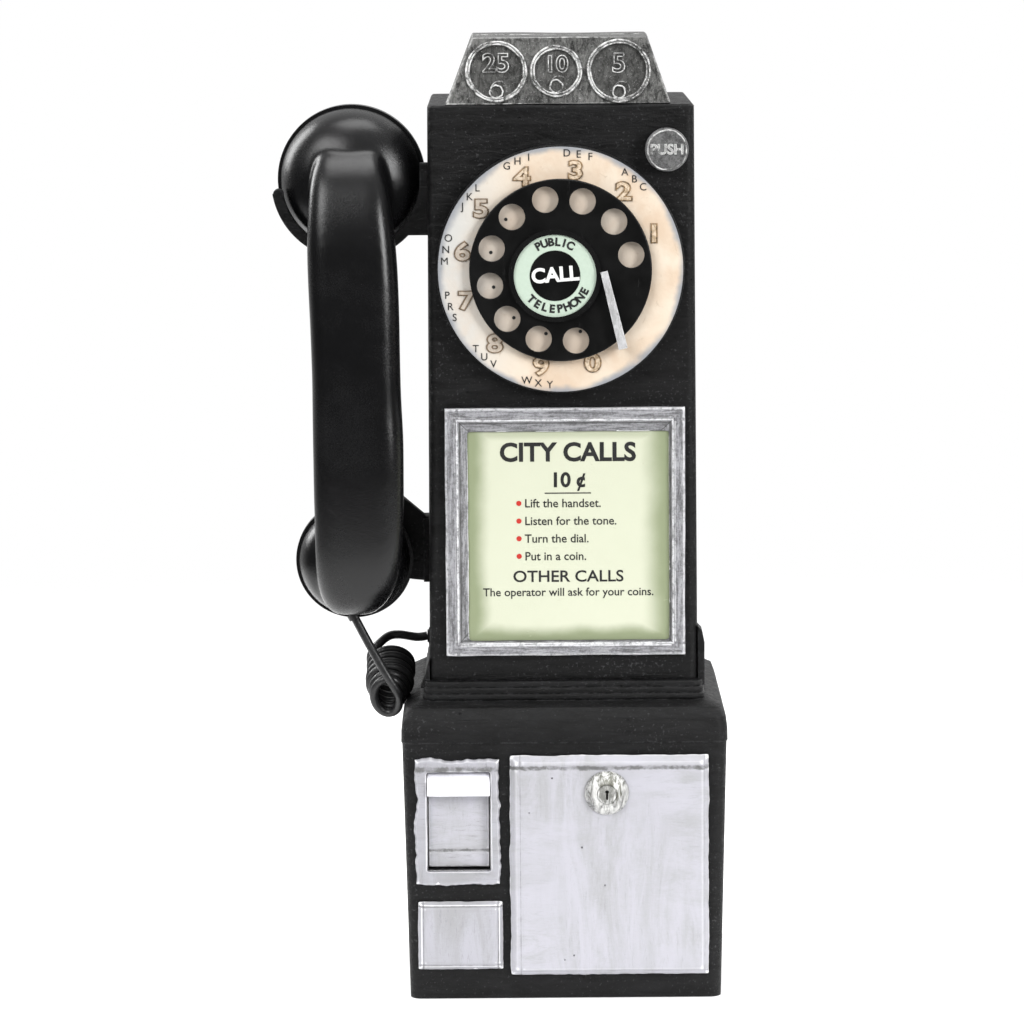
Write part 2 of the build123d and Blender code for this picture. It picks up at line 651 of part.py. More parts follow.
def pulse_contacts():
    base = block(DIAL_X + 12, DIAL_X + 26, -36, CUP_BACK - 2.0, DIAL_Z - 22, DIAL_Z - 12)
    leaves = [base]
    for offset in (0.0, 1.6, 3.2):
        z = DIAL_Z - 12 + offset
        leaves.append(block(DIAL_X + 13, DIAL_X + 25, -34, -28, z, z + 0.5))
        leaves.append(block(DIAL_X + 20, DIAL_X + 25, -33, -29, z + 0.5, z + 1.6))
    return sum(leaves[1:], leaves[0])


def finger_stop():
    """A flat bar over the wheel, from beside the retainer to a post just outside the wheel's edge."""
    (top_x, top_z), (end_x, end_z) = STOP_TOP, STOP_END
    long = math.hypot(end_x - top_x, end_z - top_z)
    along_x, along_z = (end_x - top_x) / long, (end_z - top_z) / long
    corners = []
    for x, z, half in ((top_x, top_z, STOP_HALF_TOP), (end_x, end_z, STOP_HALF_END)):
        corners.append((DIAL_X + x - along_z * half, DIAL_Z + z + along_x * half))
        corners.append((DIAL_X + x + along_z * half, DIAL_Z + z - along_x * half))
    outline = [corners[0], corners[1], corners[3], corners[2]]
    bar = slab(outline, STOP_FRONT, STOP_FRONT + STOP_THICK)
    post_x = DIAL_X + end_x - along_x * STOP_POST_R
    post_z = DIAL_Z + end_z - along_z * STOP_POST_R
    return bar + rod_y(STOP_POST_R, post_x, post_z, STOP_FRONT, MOUNT_FRONT - PLATE_THICK)


# ---------------------------------------------------------------- instruction card
def card_frame():
    y_face = UPPER_FRONT - FRAME_PROUD
    frame = frustum(FRAME, grown(FRAME, -0.7), UPPER_FRONT - 2.8, y_face)
    x0, x1, z0, z1 = FRAME
    frame += block(x0, x1, UPPER_FRONT - 2.8, UPPER_FRONT, z0, z1)
    band = grown(FRAME, -5.4)
    frame -= frustum(FRAME_OPENING, band, UPPER_FRONT - 1.2, y_face - 0.01)
    x0, x1, z0, z1 = FRAME_OPENING
    frame -= block(x0, x1, UPPER_FRONT - 2, UPPER_FRONT + 1, z0, z1)
    x0, x1, z0, z1 = grown(FRAME_OPENING, 2.2)
    return frame - block(x0, x1, UPPER_FRONT - 0.5, UPPER_FRONT + 1, z0, z1)


def instruction_card():
    x0, x1, z0, z1 = grown(FRAME_OPENING, 2.0)
    return block(x0, x1, UPPER_FRONT - 0.45, UPPER_FRONT - 0.05, z0, z1)


# ---------------------------------------------------------------- push button
def push_button():
    face, skirt = UPPER_FRONT - 7.0, UPPER_FRONT - 3.3
    cap = rod_y(BUTTON_R, BUTTON_X, BUTTON_Z, face, skirt)
    cap = fillet(cap.faces().sort_by(Axis.Y)[0].edges(), 0.9)
    cap -= rod_y(8.0, BUTTON_X, BUTTON_Z, face + 1.5, skirt + 1)
    return cap + rod_y(BUTTON_STEM_R, BUTTON_X, BUTTON_Z, face + 1.5, -36.0)


def button_collar():
    return ring_y(7.5, BUTTON_STEM_R + 0.06, BUTTON_X, BUTTON_Z, UPPER_FRONT - 2.0, UPPER_FRONT)


def button_spring():
    return ring_y(3.2, 2.3, BUTTON_X, BUTTON_Z, -36.0, -29.0)


def button_contacts():
    base = block(BUTTON_X - 7, BUTTON_X + 7, -27.8, -22, BUTTON_Z - 6, BUTTON_Z + 6)
    foot = block(BUTTON_X - 7, BUTTON_X + 7, -29.0, -27.8, BUTTON_Z - 6, BUTTON_Z + 6)
    arm = block(BUTTON_X - 7, BUTTON_X + 7, -22, -10, BUTTON_Z + 4, UPPER_TOP_Z - CASTING)
    return base + foot + arm


# ---------------------------------------------------------------- hook
def hook_fork():
    y0, y1 = HOOK_Y
    band = rod_y(FORK_OUT_R, EAR_X, EAR_Z, y0, y1)
    arm_outline = [(EAR_X, 331), (-44, 331), (-44, 356), (-51, 356), (-57, 362), (EAR_X + 20, 362)]
    arm = slab(arm_outline, y0, y1)
    solid = band + arm
    solid -= rod_y(FORK_IN_R, EAR_X, EAR_Z, y0 - 1, y1 + 1)
    solid -= block(EAR_X - FORK_IN_R, EAR_X + FORK_IN_R, y0 - 1, y1 + 1, EAR_Z, EAR_Z + 40)
    solid -= block(EAR_X - 40, EAR_X, y0 - 1, y1 + 1, 349, EAR_Z + 40)
    solid -= block(EAR_X, -50, y0 - 1, y1 + 1, 362, EAR_Z + 40)
    solid += rod_y((FORK_OUT_R - FORK_IN_R) / 2, EAR_X - 31.2, 349, y0, y1)
    return solid - rod_y(PIN_R + 0.05, PIVOT_X, PIVOT_Z, y0 - 1, y1 + 1)


def hook_pin():
    y0, y1 = HOOK_Y
    return rod_y(PIN_R, PIVOT_X, PIVOT_Z, y0 - 3.5, y1 + 3.5)


def hook_bracket():
    y0, y1 = HOOK_Y
    bracket = None
    for y in (y0 - 3.4, y1 + 1.8):
        cheek = block(-53, -40, y, y + 1.6, 334, 372)
        cheek -= rod_y(PIN_R, PIVOT_X, PIVOT_Z, y - 1, y + 3)
        bracket = cheek if bracket is None else bracket + cheek
    return bracket + block(-53, -40, y0 - 3.4, y1 + 3.4, 372, 373.6)


def hook_spring():
    y = sum(HOOK_Y) / 2
    return rod_z(2.6, -47.4, y, 356.4, 372) - rod_z(1.8, -47.4, y, 350, 380)


def hook_contacts():
    y0, y1 = HOOK_Y
    stack = block(-54, -42, y0, y1, 316, 321)
    for index in range(3):
        z = 321 + index * 2.4
        stack += block(-54, -51, y0 + 1, y1 - 1, z, z + 2.4)
        stack += block(-54, -42, y0 + 1, y1 - 1, z + 1.2, z + 1.7)
    return stack


def lower_rest():
    y0, y1 = -10.0, -4.0
    plate = slab(
        [(-56, 176), (-56, 204), (-60, 205), (-70, 213.5), (-96, 196), (-96, 182), (-66, 177)], y0, y1
    )
    foot = block(-61, -56, y0 - 2, y1 + 12, 176, 204)
    return plate + foot - upper_solid()


def rest_pad():
    return rod_y(7.5, MOUTH_X, 189, -12.4, -10.0) - rod_y(2.0, MOUTH_X, 189, -13, -12.0)


# ---------------------------------------------------------------- handset
CAP_BACK_EAR, CAP_BACK_MOUTH = -11.0, -12.9
CUP_RIM_Y = -24.0


def bell(radius, depth, x, z):
    """The domed back of one end of the handset, closed towards the viewer."""
    rim = (radius, CUP_RIM_Y)
    dome = Spline(
        rim,
        (radius * 0.935, CUP_RIM_Y - depth * 0.36),
        (radius * 0.80, CUP_RIM_Y - depth * 0.66),
        (radius * 0.50, CUP_RIM_Y - depth * 0.93),
        (0.0, CUP_RIM_Y - depth),
        tangents=[(-0.12, -1.0), (-1.0, 0.0)],
    )
    rest = Polyline((0.0, CUP_RIM_Y - depth), (0.0, CUP_RIM_Y), rim)
    return turned([dome, *rest.edges()], x, z)


# sections of the handle: height, x, y, half width, half depth
HANDLE = (
    (370.0, -91.0, -34.0, 10.5, 5.5),
    (364.0, -90.9, -40.0, 14.2, 8.5),
    (352.0, -90.6, -46.0, 17.0, 11.0),
    (335.0, -90.0, -50.4, 18.6, 11.8),
    (300.0, -88.8, -53.0, 19.3, 12.2),
    (255.0, -88.0, -53.6, 19.3, 12.2),
    (215.0, -87.8, -52.4, 19.3, 12.4),
    (192.0, -88.4, -48.6, 18.6, 13.0),
    (178.0, -89.6, -43.4, 16.2, 12.4),
    (170.0, -90.6, -38.6, 12.2, 9.6),
    (166.0, -91.0, -35.4, 7.6, 5.6),
)


def handset_handle():
    sections = []
    for z, x, y, half_w, half_d in HANDLE:
        corner = 0.72 * half_d
        sections.append(Pos(x, y, z) * RectangleRounded(2 * half_w, 2 * half_d, corner))
    handle = loft(sections)
    ear_hollow = rod_y(EAR_R - 4.5, EAR_X, EAR_Z, -33.0, CUP_RIM_Y + 10)
    mouth_hollow = rod_y(MOUTH_R - 4.5, MOUTH_X, MOUTH_Z, -32.0, CUP_RIM_Y + 10)
    handle += bell(EAR_R - 0.9, 21.0, EAR_X, EAR_Z)
    handle += bell(MOUTH_R - 0.9, 18.0, MOUTH_X, MOUTH_Z)
    return handle - ear_hollow - mouth_hollow


def handset_cap(radius, face_y, x, z, holes):
    """A screwed cap: a rim over the bell's edge and a face with sound holes."""
    rim = Polyline(
        (0, face_y), (radius - 5.5, face_y), (radius - 1.6, face_y - 2.4), (radius, face_y - 5.2),
        (radius, CUP_RIM_Y), (radius - 3.4, CUP_RIM_Y), (radius - 3.4, face_y - 4.6), (0, face_y - 2.2),
        close=True,
    )
    cap = turned(rim, x, z)
    for ring_r, count in holes:
        for index in range(count):
            dx, dz = polar(ring_r, index * 360 / count)
            cap -= rod_y(1.1, x + dx, z + dz, face_y - 6, face_y + 1)
    return cap


def capsule(radius, y0, y1, x, z):
    return rod_y(radius, x, z, y0, y1) - ring_y(radius - 4, radius - 6, x, z, y1 - 1, y1 + 1)


def along(start, end, radius, overrun=0.0):
    """A round bar between two points, longer than that by overrun at its end."""
    axis = Vector(*end) - Vector(*start)
    length = axis.length + overrun
    plane = Plane(origin=start, z_dir=axis)
    return extrude(plane * Circle(radius), amount=length)


def cord_direction():
    return (Vector(*CORD_JOIN) - Vector(*CORD_EXIT)).normalized()


def handset_gland():
    start = Vector(*CORD_EXIT) - cord_direction() * 2.5
    sleeve = along(tuple(start), CORD_EXIT, 2.7) - handset_handle()
    return largest(sleeve)


# ---------------------------------------------------------------- cord
def coil_axis():
    return (Vector(*COIL_FAR) - Vector(*COIL_NEAR)).normalized()


def cord_coil():
    start = Vector(*COIL_NEAR) - coil_axis() * CORD_R
    end = Vector(*COIL_FAR) + coil_axis() * CORD_R
    return along(tuple(start), tuple(end), COIL_R)


def cord_handset_run():
    return largest(along(CORD_EXIT, CORD_JOIN, CORD_R) - cord_coil())


def corner_radii(points):
    radii = []
    for before, corner, after in zip(points, points[1:], points[2:]):
        one, two = Vector(*corner) - Vector(*before), Vector(*after) - Vector(*corner)
        turn = math.radians(one.get_angle(two))
        radii.append(0.45 * min(one.length, two.length) / math.tan(turn / 2))
    return radii


def cord_housing_run():
    path = FilletPolyline(*CORD_LEAD, radius=corner_radii(CORD_LEAD))
    start = Plane(origin=CORD_LEAD[0], z_dir=Vector(*CORD_LEAD[1]) - Vector(*CORD_LEAD[0]))
    tube = sweep(start * Circle(CORD_R), path=path)
    return largest(tube - cord_coil())


def housing_gland():
    x, y, z = CORD_LEAD[0]
    shank = rod_x(CORD_HOLE_R - 0.1, y, z, x, -50.0)
    flange = rod_x(3.8, y, z, -59.2, -57.0) - upper_solid()
    return shank + flange


# ---------------------------------------------------------------- electrical
def terminal_block():
    base = block(-58, -26, 38, 52, 20, 34)
    for index in range(4):
        base += rod_y(2.2, -54 + index * 8, 27, 35.6, 38)
    return base


def network_can():
    can = block(-22, 24, 14, 46, 146, 196)
    return fillet(can.edges().filter_by(Axis.Z), 4)


PARTS = {
    "upper_housing": upper_housing,
    "lower_housing": lower_housing,
    "base_plate": base_plate,
    "back_plate": back_plate,
    "back_screws": back_screws,
    "access_plate": access_plate,
    "coin_head": coin_head,
    "coin_chutes": coin_chutes,
    "coin_hopper": coin_hopper,
    "relay_frame": relay_frame,
    "relay_coil": relay_coil,
    "relay_vane": relay_vane,
    "refund_chute": refund_chute,
    "return_frame": return_frame,
    "return_hood": return_hood,
    "return_flap": return_flap,
    "flap_pin": flap_pin,
    "return_cup": return_cup,
    "vault_door": vault_door,
    "lock_boss": lock_boss,
    "lock_plug": lock_plug,
    "vault_tray": vault_tray,
    "coin_box": coin_box,
    "coin_box_handle": coin_box_handle,
    "dial_mount": dial_mount,
    "number_plate": number_plate,
    "finger_wheel": finger_wheel,
    "number_card": number_card,
    "card_retainer": card_retainer,
    "dial_shaft": dial_shaft,
    "dial_gear": dial_gear,
    "governor": governor,
    "dial_spring": dial_spring,
    "pulse_contacts": pulse_contacts,
    "finger_stop": finger_stop,
    "card_frame": card_frame,
    "instruction_card": instruction_card,
    "push_button": push_button,
    "button_collar": button_collar,
    "button_spring": button_spring,
    "button_contacts": button_contacts,
    "hook_fork": hook_fork,
    "hook_pin": hook_pin,
    "hook_bracket": hook_bracket,
    "hook_spring": hook_spring,
    "hook_contacts": hook_contacts,
    "lower_rest": lower_rest,
    "rest_pad": rest_pad,
    "handset_handle": handset_handle,
    "receiver_cap": lambda: handset_cap(EAR_R, CAP_BACK_EAR, EAR_X, EAR_Z, ((4.0, 6), (9.0, 12))),
    "transmitter_cap": lambda: handset_cap(
        MOUTH_R, CAP_BACK_MOUTH, MOUTH_X, MOUTH_Z, ((4.0, 6), (8.0, 12))
    ),
    "receiver_capsule": lambda: capsule(EAR_R - 4.8, -32.6, -17.6, EAR_X, EAR_Z),
    "transmitter_capsule": lambda: capsule(MOUTH_R - 4.8, -31.6, -19.5, MOUTH_X, MOUTH_Z),
    "handset_gland": handset_gland,
    "cord_handset_run": cord_handset_run,
    "cord_coil": cord_coil,
    "cord_housing_run": cord_housing_run,
    "housing_gland": housing_gland,
    "terminal_block": terminal_block,
    "network_can": network_can,
}


def main():
    os.makedirs("parts", exist_ok=True)
    for name, make in PARTS.items():
        export_step(make(), f"parts/{name}.step")


main()
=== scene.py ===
import math

import bmesh
import bpy
from mathutils import Matrix, Vector, noise


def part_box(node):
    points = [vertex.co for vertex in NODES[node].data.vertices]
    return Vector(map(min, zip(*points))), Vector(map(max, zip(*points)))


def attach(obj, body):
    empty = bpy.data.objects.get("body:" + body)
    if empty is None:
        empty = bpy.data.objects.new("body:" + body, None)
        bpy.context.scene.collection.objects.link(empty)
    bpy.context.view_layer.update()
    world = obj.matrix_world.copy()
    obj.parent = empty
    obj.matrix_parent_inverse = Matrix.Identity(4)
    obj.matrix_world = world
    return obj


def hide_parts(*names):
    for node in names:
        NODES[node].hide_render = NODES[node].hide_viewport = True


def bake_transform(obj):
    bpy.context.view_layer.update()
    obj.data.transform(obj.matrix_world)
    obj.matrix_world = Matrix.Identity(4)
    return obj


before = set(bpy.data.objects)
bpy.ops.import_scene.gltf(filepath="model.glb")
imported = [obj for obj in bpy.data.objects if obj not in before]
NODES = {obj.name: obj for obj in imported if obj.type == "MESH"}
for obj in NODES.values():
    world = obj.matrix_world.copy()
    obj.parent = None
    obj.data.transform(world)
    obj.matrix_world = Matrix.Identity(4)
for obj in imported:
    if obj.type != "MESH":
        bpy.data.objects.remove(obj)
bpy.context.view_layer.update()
MM = 0.001

# Millimetres from the middle of the coin head: each ring's place across it and its radius.
RINGS = ((-26.4, 13.0), (-0.8, 10.9), (26.0, 13.4))
RING_RISE = 14.2
# The amount inside each ring, its letters' height in metres and how many millimetres up it stands.
AMOUNTS = (("25", 0.0112, 17.4), ("10", 0.0098, 16.9), ("5", 0.0115, 17.1))
# From the bottom of each ring to the middle of the small circle inside it.
SMALL_RING_GAP = 4.5
SMALL_RING_RADIUS = 0.0027
# The width of the card frame's flat outer band, in metres.
FRAME_BAND = 0.0055
# The part of a panel that stands in front of the housing, in metres.
PANEL_DEPTH = 0.0034
# Degrees round the dial, counterclockwise from the right.
DIGITS = (
    ("1", 20.4), ("2", 50.5), ("3", 81.0), ("4", 112.3), ("5", 142.4), ("6", 169.6), ("7", 198.2),
    ("8", 228.3), ("9", 258.4), ("0", 288.5),
)
LETTERS = (
    ("ABC", 50.5), ("DEF", 80.8), ("GHI", 111.3), ("JKL", 141.0), ("ONM", 169.8), ("PRS", 198.3),
    ("TUV", 228.6), ("WXY", 258.6),
)
# Circles on the dial, in metres: its numbers, its letters, its finger holes and the words on its card.
DIGIT_CIRCLE, LETTER_CIRCLE, HOLE_CIRCLE, WORD_CIRCLE = 0.0426, 0.0497, 0.0308, 0.0143
DIGIT_SIZE, LETTER_SIZE, WORD_SIZE = 0.0106, 0.0045, 0.0047
# The black disc in the middle of the card.
DISC_RADIUS, DISC_THICK = 0.0108, 0.00016
# How far the coin head's face leans back, as millimetres back over millimetres up.
FACE_BACK, FACE_UP = 6.1, 29.0
# A hole's place on its circle, and where the small dark dot behind it lies from the hole's middle.
HOLE_DOTS = (
    (132.0, -2.6, -1.5), (162.0, -0.4, -2.2), (192.0, 1.5, -1.1), (222.0, 2.8, -0.1), (252.0, 3.1, 1.7),
    (282.0, 1.9, 3.3),
)


def mm(*values):
    return tuple(value * MM for value in values)


def placed(name, data):
    made = bpy.data.objects.new(name, data)
    bpy.context.scene.collection.objects.link(made)
    return made


# ---------------- camera and light
def add_camera():
    """The view: from a little left of the middle and above, looking slightly down."""
    data = bpy.data.cameras.new("camera")
    data.sensor_width = 36.0
    data.lens = 156.2
    data.shift_y = 0.0088
    data.clip_end = 50.0
    camera = placed("camera", data)
    look_down, roll = math.radians(8.21), math.radians(-0.42)
    place = Matrix.Translation(mm(-22.0, -1947.0, 482.0))
    turn = Matrix.Rotation(math.pi / 2 - look_down, 4, "X") @ Matrix.Rotation(roll, 4, "Z")
    camera.matrix_world = place @ turn
    bpy.context.scene.camera = camera


def add_softbox(name, at, target, size, power):
    data = bpy.data.lights.new(name, "AREA")
    data.shape = "RECTANGLE"
    data.size, data.size_y = size
    data.energy = power
    light = placed(name, data)
    light.location = at
    light.rotation_euler = (Vector(target) - Vector(at)).to_track_quat("-Z", "Y").to_euler()


def add_studio():
    """A white backdrop to the camera; to the surfaces, a room bright above and behind and dim in front."""
    world = bpy.data.worlds.new("studio")
    bpy.context.scene.world = world
    world.use_nodes = True
    tree = world.node_tree
    background = tree.nodes["Background"]
    coordinates = tree.nodes.new("ShaderNodeTexCoord")
    split = tree.nodes.new("ShaderNodeSeparateXYZ")
    tree.links.new(coordinates.outputs["Generated"], split.inputs[0])
    parts = []
    for axis, low, high, most in (("Z", 0.05, 0.95, 0.75), ("Y", 0.0, 1.0, 0.55)):
        ramp = tree.nodes.new("ShaderNodeMapRange")
        ramp.interpolation_type = "SMOOTHSTEP"
        ramp.inputs["From Min"].default_value = low
        ramp.inputs["From Max"].default_value = high
        ramp.inputs["To Min"].default_value = 0.05
        ramp.inputs["To Max"].default_value = most
        tree.links.new(split.outputs[axis], ramp.inputs["Value"])
        parts.append(ramp.outputs["Result"])
    total = tree.nodes.new("ShaderNodeMath")
    total.operation = "ADD"
    tree.links.new(parts[0], total.inputs[0])
    tree.links.new(parts[1], total.inputs[1])
    path = tree.nodes.new("ShaderNodeLightPath")
    seen = tree.nodes.new("ShaderNodeMix")
    seen.data_type = "FLOAT"
    tree.links.new(path.outputs["Is Camera Ray"], seen.inputs["Factor"])
    tree.links.new(total.outputs[0], seen.inputs["A"])
    seen.inputs["B"].default_value = 1.0
    tree.links.new(seen.outputs["Result"], background.inputs["Strength"])
    background.inputs["Color"].default_value = (1.0, 1.0, 1.0, 1.0)
    bpy.context.scene.view_settings.view_transform = "Standard"
    add_softbox("key", (-1.0, -1.25, 1.35), (0, 0, 0.25), (1.1, 1.0), 25.0)
    add_softbox("right", (1.2, -1.15, 0.75), (0, 0, 0.22), (0.50, 0.8), 22.0)
    add_softbox("top", (0.05, -0.1, 1.7), (0, 0, 0.2), (1.0, 0.7), 10.0)
    add_softbox("behind_left", (-1.1, 0.7, 0.9), (0, 0, 0.22), (0.5, 0.9), 12.0)
    add_softbox("behind_right", (1.0, 0.9, 0.9), (0, 0, 0.22), (0.5, 0.9), 8.0)


def add_floor():
    """A white floor that fades into the white backdrop all round."""
    mesh = bpy.data.meshes.new("floor")
    rings, spokes, reach = 24, 64, 1.1
    verts = [(0.0, 0.0, 0.0)]
    for ring in range(1, rings + 1):
        for spoke in range(spokes):
            angle = 2 * math.pi * spoke / spokes
            radius = reach * ring / rings
            verts.append((radius * math.cos(angle), radius * math.sin(angle), 0.0))
    faces = [(0, 1 + spoke, 1 + (spoke + 1) % spokes) for spoke in range(spokes)]
    for ring in range(1, rings):
        for spoke in range(spokes):
            inner, outer = 1 + (ring - 1) * spokes, 1 + ring * spokes
            beside = (spoke + 1) % spokes
            faces.append((inner + spoke, outer + spoke, outer + beside, inner + beside))
    mesh.from_pydata(verts, [], faces)
    floor = placed("floor", mesh)
    floor.location = (0.0, 0.16, -0.0002)
    look = Look("floor_white")
    look.shader.inputs["Base Color"].default_value = (0.86, 0.86, 0.86, 1)
    look.shader.inputs["Roughness"].default_value = 0.9
    look.shader.inputs["Specular IOR Level"].default_value = 0.1
    look.shader.inputs["Emission Color"].default_value = (1, 1, 1, 1)
    look.shader.inputs["Emission Strength"].default_value = 0.22
    distance = look.node("ShaderNodeVectorMath", operation="LENGTH")
    look.feed(look.coordinates, distance.inputs[0])
    look.feed(look.span(distance.outputs["Value"], 0.30, 1.0, 1.0, 0.0), look.shader.inputs["Alpha"])
    mesh.materials.append(look.material)


# ---------------- materials
class Look:
    """One procedural material. Positions are in the object's own frame, in metres."""

    def __init__(self, name):
        self.material = bpy.data.materials.new(name)
        self.material.use_nodes = True
        self.tree = self.material.node_tree
        self.shader = self.tree.nodes["Principled BSDF"]
        self.coordinates = self.node("ShaderNodeTexCoord").outputs["Object"]

    def node(self, kind, **settings):
        made = self.tree.nodes.new(kind)
        for key, value in settings.items():
            setattr(made, key, value)
        return made

    def feed(self, value, socket):
        if isinstance(value, bpy.types.NodeSocket):
            self.tree.links.new(value, socket)
        else:
            socket.default_value = value

    def place(self, stretch=(1, 1, 1), turn=(0, 0, 0), shift=(0, 0, 0)):
        mapping = self.node("ShaderNodeMapping")
        self.feed(self.coordinates, mapping.inputs["Vector"])
        mapping.inputs["Scale"].default_value = stretch
        mapping.inputs["Rotation"].default_value = turn
        mapping.inputs["Location"].default_value = shift
        return mapping.outputs["Vector"]

    def noise(self, per_metre, detail=4.0, rough=0.55, distort=0.0, **where):
        made = self.node("ShaderNodeTexNoise")
        self.feed(self.place(**where), made.inputs["Vector"])
        made.inputs["Scale"].default_value = per_metre
        made.inputs["Detail"].default_value = detail
        made.inputs["Roughness"].default_value = rough
        made.inputs["Distortion"].default_value = distort
        return made.outputs["Fac"]

    def pits(self, per_metre, size, **where):
        """Small round dents, 1 in the middle of each and 0 between them; most cells have none."""
        made = self.node("ShaderNodeTexVoronoi")
        self.feed(self.place(**where), made.inputs["Vector"])
        made.inputs["Scale"].default_value = per_metre
        dent = self.span(made.outputs["Distance"], size, size * 0.35, 0.0, 1.0)
        keep = self.span(self.noise(per_metre * 0.31, 0.0), 0.56, 0.60, 0.0, 1.0)
        return self.times(dent, keep)

    def math(self, operation, first, second=0.0):
        made = self.node("ShaderNodeMath", operation=operation)
        self.feed(first, made.inputs[0])
        self.feed(second, made.inputs[1])
        return made.outputs[0]

    def plus(self, first, second):
        return self.math("ADD", first, second)

    def minus(self, first, second):
        return self.math("SUBTRACT", first, second)

    def times(self, first, second):
        return self.math("MULTIPLY", first, second)

    def off(self, value, place):
        """How far a value is from place, either way."""
        return self.math("ABSOLUTE", self.minus(value, place))

    def most(self, first, second):
        return self.math("MAXIMUM", first, second)

    def weighted(self, first, share, second, other_share):
        return self.plus(self.times(first, share), self.times(second, other_share))

    def choose(self, share, first, second):
        """A number between first and second."""
        made = self.node("ShaderNodeMix", data_type="FLOAT")
        self.feed(share, made.inputs["Factor"])
        self.feed(first, made.inputs["A"])
        self.feed(second, made.inputs["B"])
        return made.outputs["Result"]

    def span(self, value, low, high, to_low=0.0, to_high=1.0):
        made = self.node("ShaderNodeMapRange", interpolation_type="SMOOTHSTEP")
        self.feed(value, made.inputs["Value"])
        self.feed(low, made.inputs["From Min"])
        self.feed(high, made.inputs["From Max"])
        self.feed(to_low, made.inputs["To Min"])
        self.feed(to_high, made.inputs["To Max"])
        return made.outputs["Result"]

    def mix(self, share, first, second):
        made = self.node("ShaderNodeMix", data_type="RGBA")
        self.feed(share, made.inputs["Factor"])
        for value, socket in ((first, made.inputs["A"]), (second, made.inputs["B"])):
            self.feed((*value, 1.0) if isinstance(value, tuple) else value, socket)
        return made.outputs["Result"]

    def edge(self, radius, low=0.02, high=0.25):
        """1 along outer and inner edges, from how far the rounded normal leans from the true one."""
        bevel = self.node("ShaderNodeBevel", samples=4)
        bevel.inputs["Radius"].default_value = radius
        plain = self.node("ShaderNodeNewGeometry").outputs["Normal"]
        dot = self.node("ShaderNodeVectorMath", operation="DOT_PRODUCT")
        self.feed(bevel.outputs["Normal"], dot.inputs[0])
        self.feed(plain, dot.inputs[1])
        lean = self.minus(1.0, dot.outputs["Value"])
        return self.span(lean, low, high), bevel.outputs["Normal"]

    def crest(self, low=0.506, high=0.535):
        """1 on the crests of a finely meshed piece."""
        return self.span(self.node("ShaderNodeNewGeometry").outputs["Pointiness"], low, high)

    def trough(self, low=0.485, high=0.44):
        """1 in the creases of a finely meshed piece."""
        return self.span(self.node("ShaderNodeNewGeometry").outputs["Pointiness"], low, high)

    def axis(self, name):
        split = self.node("ShaderNodeSeparateXYZ")
        self.feed(self.coordinates, split.inputs[0])
        return split.outputs[name]

    def flat_distance(self, x, z):
        """How far a point is from x and z, seen from the front."""
        flat = self.node("ShaderNodeCombineXYZ")
        self.feed(self.axis("X"), flat.inputs["X"])
        self.feed(self.axis("Z"), flat.inputs["Z"])
        away = self.node("ShaderNodeVectorMath", operation="DISTANCE")
        self.feed(flat.outputs[0], away.inputs[0])
        away.inputs[1].default_value = (x, 0.0, z)
        return away.outputs["Value"]

    def bump(self, height, depth, normal=None):
        made = self.node("ShaderNodeBump")
        made.inputs["Strength"].default_value = 1.0
        made.inputs["Distance"].default_value = depth
        self.feed(height, made.inputs["Height"])
        if normal is not None:
            self.feed(normal, made.inputs["Normal"])
        return made.outputs["Normal"]

    def finish(self, color=None, roughness=None, metallic=None, normal=None):
        given = {"Base Color": color, "Roughness": roughness, "Metallic": metallic, "Normal": normal}
        for name, value in given.items():
            if value is not None:
                self.feed(value, self.shader.inputs[name])
        return self.material


def black_enamel(name, painted_light_gain=1.0):
    """Satin black brushed over a rough casting: streaks, grain, pinholes, and greyer edges that are partly
    rubbed wear and partly a painted highlight.
    """
    look = Look(name)
    edge, soft = look.edge(0.0012)
    streaks = look.noise(150, 7, 0.68, 0.8, stretch=(0.3, 1, 1.5))
    grain = look.noise(1500, 3, 0.6)
    cloud = look.noise(22, 3, 0.5)
    pits = look.pits(150, 0.09)
    specks = look.span(look.plus(look.noise(900, 3, 0.6), look.times(cloud, 0.25)), 0.74, 0.82)
    # Edges painted grey where the noise allows: partly rubbed wear, partly a painted highlight along the
    # edges.
    worn = look.times(edge, look.span(look.noise(300, 5, 0.65), 0.44, 0.60))
    # The streak grey is scaled up to make a lighter copy of the same black enamel: painted light.
    streak_grey = (0.0052 * painted_light_gain, 0.0052 * painted_light_gain, 0.0056 * painted_light_gain)
    base = look.mix(look.span(streaks, 0.35, 0.70), (0.0010, 0.0010, 0.0011), streak_grey)
    base = look.mix(look.times(cloud, 0.5), base, (0.003, 0.003, 0.003))
    marks = look.most(look.times(worn, 0.5), look.times(specks, 0.3))
    color = look.mix(marks, base, (0.10, 0.10, 0.105))
    height = look.plus(streaks, look.times(grain, 0.25))
    height = look.minus(height, look.times(pits, 1.3))
    look.shader.inputs["Specular IOR Level"].default_value = 0.22
    rough = look.span(look.noise(420, 4), 0.3, 0.7, 0.36, 0.56)
    return look.finish(color, rough, normal=look.bump(height, 0.0007, soft))


